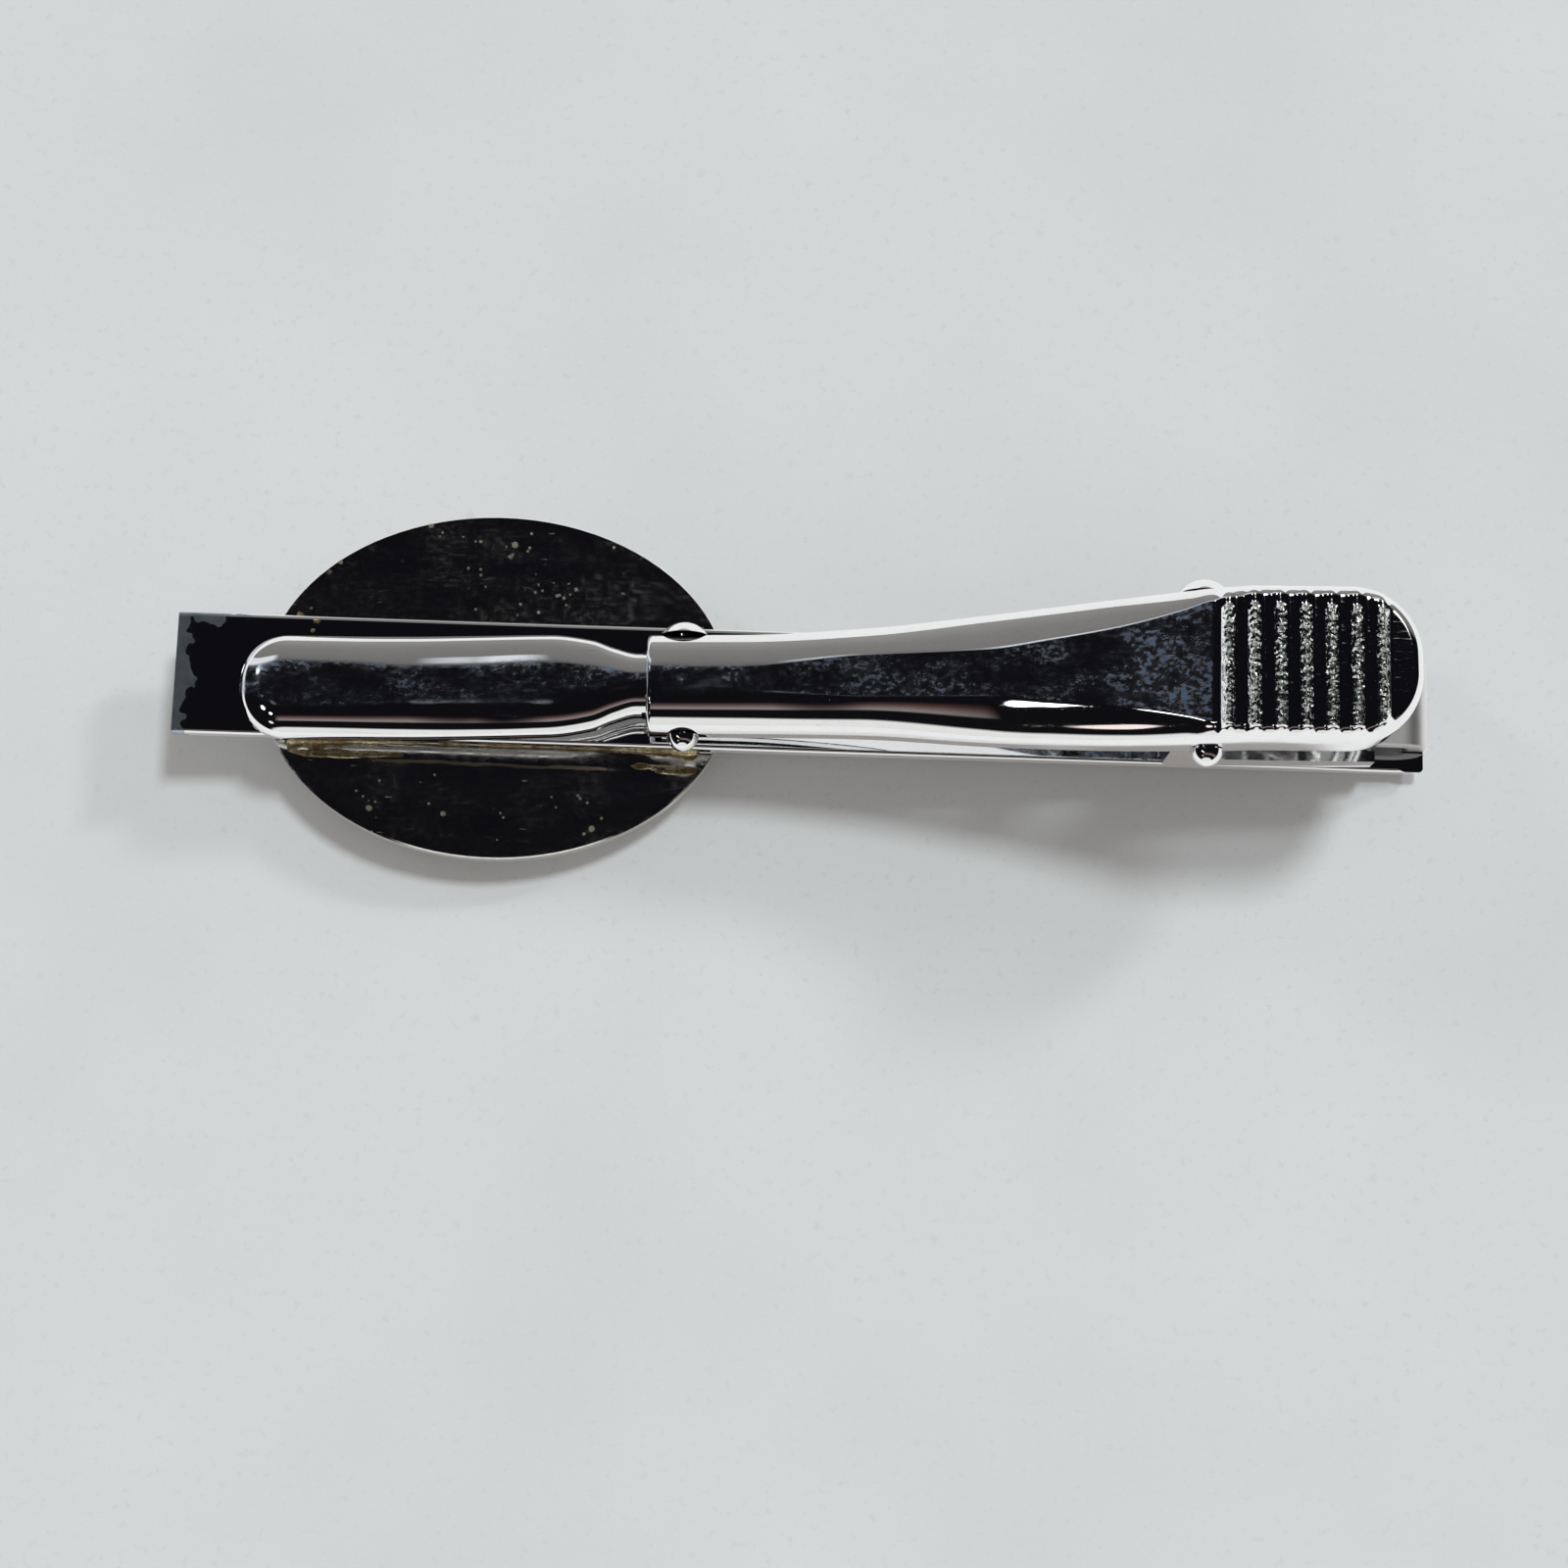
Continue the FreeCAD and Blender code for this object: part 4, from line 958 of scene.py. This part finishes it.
def make_floor():
    """Sheet of paper under the clip, which leans on the oval's rim and the folded end."""
    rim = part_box("oval_plate")[1].x - RIM_REST * MM
    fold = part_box("front_bar")[1].x - FOLD_REST * MM
    lean = math.atan2(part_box("front_bar")[0].z, fold - rim)
    mesh = bpy.data.meshes.new("paper")
    work = bmesh.new()
    bmesh.ops.create_grid(work, x_segments=2, y_segments=2, size=PAPER_HALF)
    work.to_mesh(mesh)
    work.free()
    mesh.materials.append(paper_material())
    floor = bpy.data.objects.new("paper", mesh)
    floor.matrix_world = Matrix.Translation(Vector((rim, 0, 0))) @ Matrix.Rotation(-lean, 4, "Y")
    bpy.context.scene.collection.objects.link(floor)


make_floor()

# What the plating mirrors, by degrees to the north of overhead, south negative: a white room to the south,
# a dark overhead part, and a grey wall to the north.
ROOM = [
    (-90, (0.78, 0.78, 0.76)),
    (-66, (0.84, 0.84, 0.82)),
    (-61, (0.005, 0.005, 0.006)),
    (24, (0.004, 0.004, 0.006)),
    (27, (0.17, 0.165, 0.16)),
    (60, (0.22, 0.215, 0.21)),
    (90, (0.34, 0.335, 0.33)),
]
# Stripes over the dark part: a rosy one to the south, and to the west instead a white one to the north.
STRIPES = [
    (-42, (0.0, 0.0, 0.0)),
    (-39, (0.26, 0.24, 0.23)),
    (-35, (0.20, 0.145, 0.14)),
    (-30, (0.08, 0.045, 0.043)),
    (-25, (0.0, 0.0, 0.0)),
]
WEST_STRIPES = [
    (27, (0.0, 0.0, 0.0)),
    (29, (0.75, 0.77, 0.80)),
    (37, (0.75, 0.77, 0.80)),
    (39, (0.0, 0.0, 0.0)),
]
# East part of a direction where the stripes begin to change to those of the west, and where they have.
WEST = (-0.24, -0.36)
# Even light of the room, warmer than the lamps as the photograph's shadows are.
AMBIENT = (0.470, 0.442, 0.428)
# Lamps that the plating mirrors: direction, radius in degrees, colour.
SPOTS = [
    ((0.25, 0.433, 0.866), 11.0, (2.6, 2.6, 2.5)),
    ((-0.30, -0.03, 0.95), 3.0, (0.13, 0.14, 0.14)),
    ((-0.43, -0.41, 0.81), 2.7, (5.0, 5.0, 4.8)),
    ((-0.46, -0.72, 0.52), 4.5, (1.1, 0.92, 0.88)),
    ((-0.68, 0.34, 0.65), 4.0, (4.0, 4.0, 3.9)),
    ((-0.60, -0.26, 0.76), 4.0, (4.0, 4.0, 3.9)),
]
# Share of a spot's radius that is fully bright.
SPOT_CORE = 0.7


def room_bands(tree, direction):
    """Bands of the room that the plating mirrors, by direction."""
    parts = add(tree, "ShaderNodeSeparateXYZ")
    tree.links.new(direction, parts.inputs[0])
    northward = math_node(tree, "ARCSINE", parts.outputs["Y"])
    place = share_between(tree, northward, -math.pi / 2, math.pi / 2)
    room, stripes, west_stripes = [
        ramp(tree, place, [((degrees + 90) / 180, colour) for degrees, colour in bands])
        for bands in (ROOM, STRIPES, WEST_STRIPES)]
    west = share_between(tree, parts.outputs["X"], *WEST)
    striped = add(tree, "ShaderNodeMix", {MIX_FACTOR: 1.0}, data_type="RGBA", blend_type="LIGHTEN")
    tree.links.new(room, striped.inputs[MIX_FIRST])
    tree.links.new(mixed(tree, west, stripes, west_stripes), striped.inputs[MIX_LAST])
    return striped.outputs[MIX_RESULT]


def with_spot(tree, seen, direction, way, radius, colour):
    """What is mirrored, with a round lamp in it."""
    facing = add(tree, "ShaderNodeVectorMath", operation="DOT_PRODUCT")
    facing.inputs[1].default_value = Vector(way).normalized()
    tree.links.new(direction, facing.inputs[0])
    edge, core = [math.cos(math.radians(size)) for size in (radius, radius * SPOT_CORE)]
    disc = share_between(tree, facing.outputs["Value"], edge, core, "SMOOTHSTEP")
    return mixed(tree, disc, seen, colour)


def make_world():
    """Pale room that lights the clip evenly, and the darker room that its plating mirrors."""
    world = bpy.data.worlds.new("room")
    bpy.context.scene.world = world
    world.use_nodes = True
    tree = world.node_tree
    tree.nodes.clear()
    direction = add(tree, "ShaderNodeTexCoord").outputs["Generated"]
    seen = room_bands(tree, direction)
    for spot in SPOTS:
        seen = with_spot(tree, seen, direction, *spot)
    light = add(tree, "ShaderNodeLightPath")
    mirrored = mixed(tree, light.outputs["Is Glossy Ray"], AMBIENT, seen)
    final = mixed(tree, light.outputs["Is Camera Ray"], mirrored, PAPER)
    background = add(tree, "ShaderNodeBackground", {"Strength": 1.0})
    tree.links.new(final, background.inputs["Color"])
    output = add(tree, "ShaderNodeOutputWorld")
    tree.links.new(background.outputs[0], output.inputs["Surface"])


# Soft far lamps: name, azimuth and elevation, how wide they look, all in degrees, and strength.
LAMPS = [
    ("lamp_north", 60, 60, 11.4, 1.55),
    ("lamp_east", 42, 30, 7.6, 0.84),
    ("lamp_west", 150, 14, 11.4, 0.44),
]
LAMP_COLOUR = (0.945, 1.0, 1.03)


def add_lamp(name, azimuth, elevation, spread, strength):
    """Lamp that lights the clip and the paper evenly. The plating mirrors the room's spots in its place."""
    data = bpy.data.lights.new(name, "SUN")
    data.angle = math.radians(spread)
    data.energy = strength
    data.color = LAMP_COLOUR
    lamp = bpy.data.objects.new(name, data)
    bpy.context.scene.collection.objects.link(lamp)
    az, el = math.radians(azimuth), math.radians(elevation)
    way = Vector((math.cos(el) * math.cos(az), math.cos(el) * math.sin(az), math.sin(el)))
    lamp.rotation_euler = way.to_track_quat("Z", "Y").to_euler()
    lamp.visible_glossy = False


make_world()
for lamp_values in LAMPS:
    add_lamp(*lamp_values)

# The photograph's camera: focal length in pixels of the 1600 pixel frame, turns in degrees, and its place,
# nearest sight and sensor width in millimetres.
CAMERA = {"focal": 2999.2, "frame": 1600, "about_z": 1.92, "about_x": 11.09, "about_y": -1.14,
          "place": (11.22, -29.27, 129.68), "nearest": 5.0, "sensor": 36.0}


def make_camera():
    """Camera at the photograph's viewing angle."""
    data = bpy.data.cameras.new("camera")
    data.sensor_width = CAMERA["sensor"]
    data.lens = CAMERA["focal"] / CAMERA["frame"] * CAMERA["sensor"]
    data.clip_start = CAMERA["nearest"] * MM
    data.dof.use_dof = False
    camera = bpy.data.objects.new("camera", data)
    bpy.context.scene.collection.objects.link(camera)
    turn = Matrix()
    for axis in "zxy":
        turn = turn @ Matrix.Rotation(math.radians(CAMERA["about_" + axis]), 4, axis.upper())
    camera.matrix_world = Matrix.Translation(Vector(CAMERA["place"]) * MM) @ turn
    bpy.context.scene.camera = camera


make_camera()
bpy.context.scene.view_settings.view_transform = "Standard"
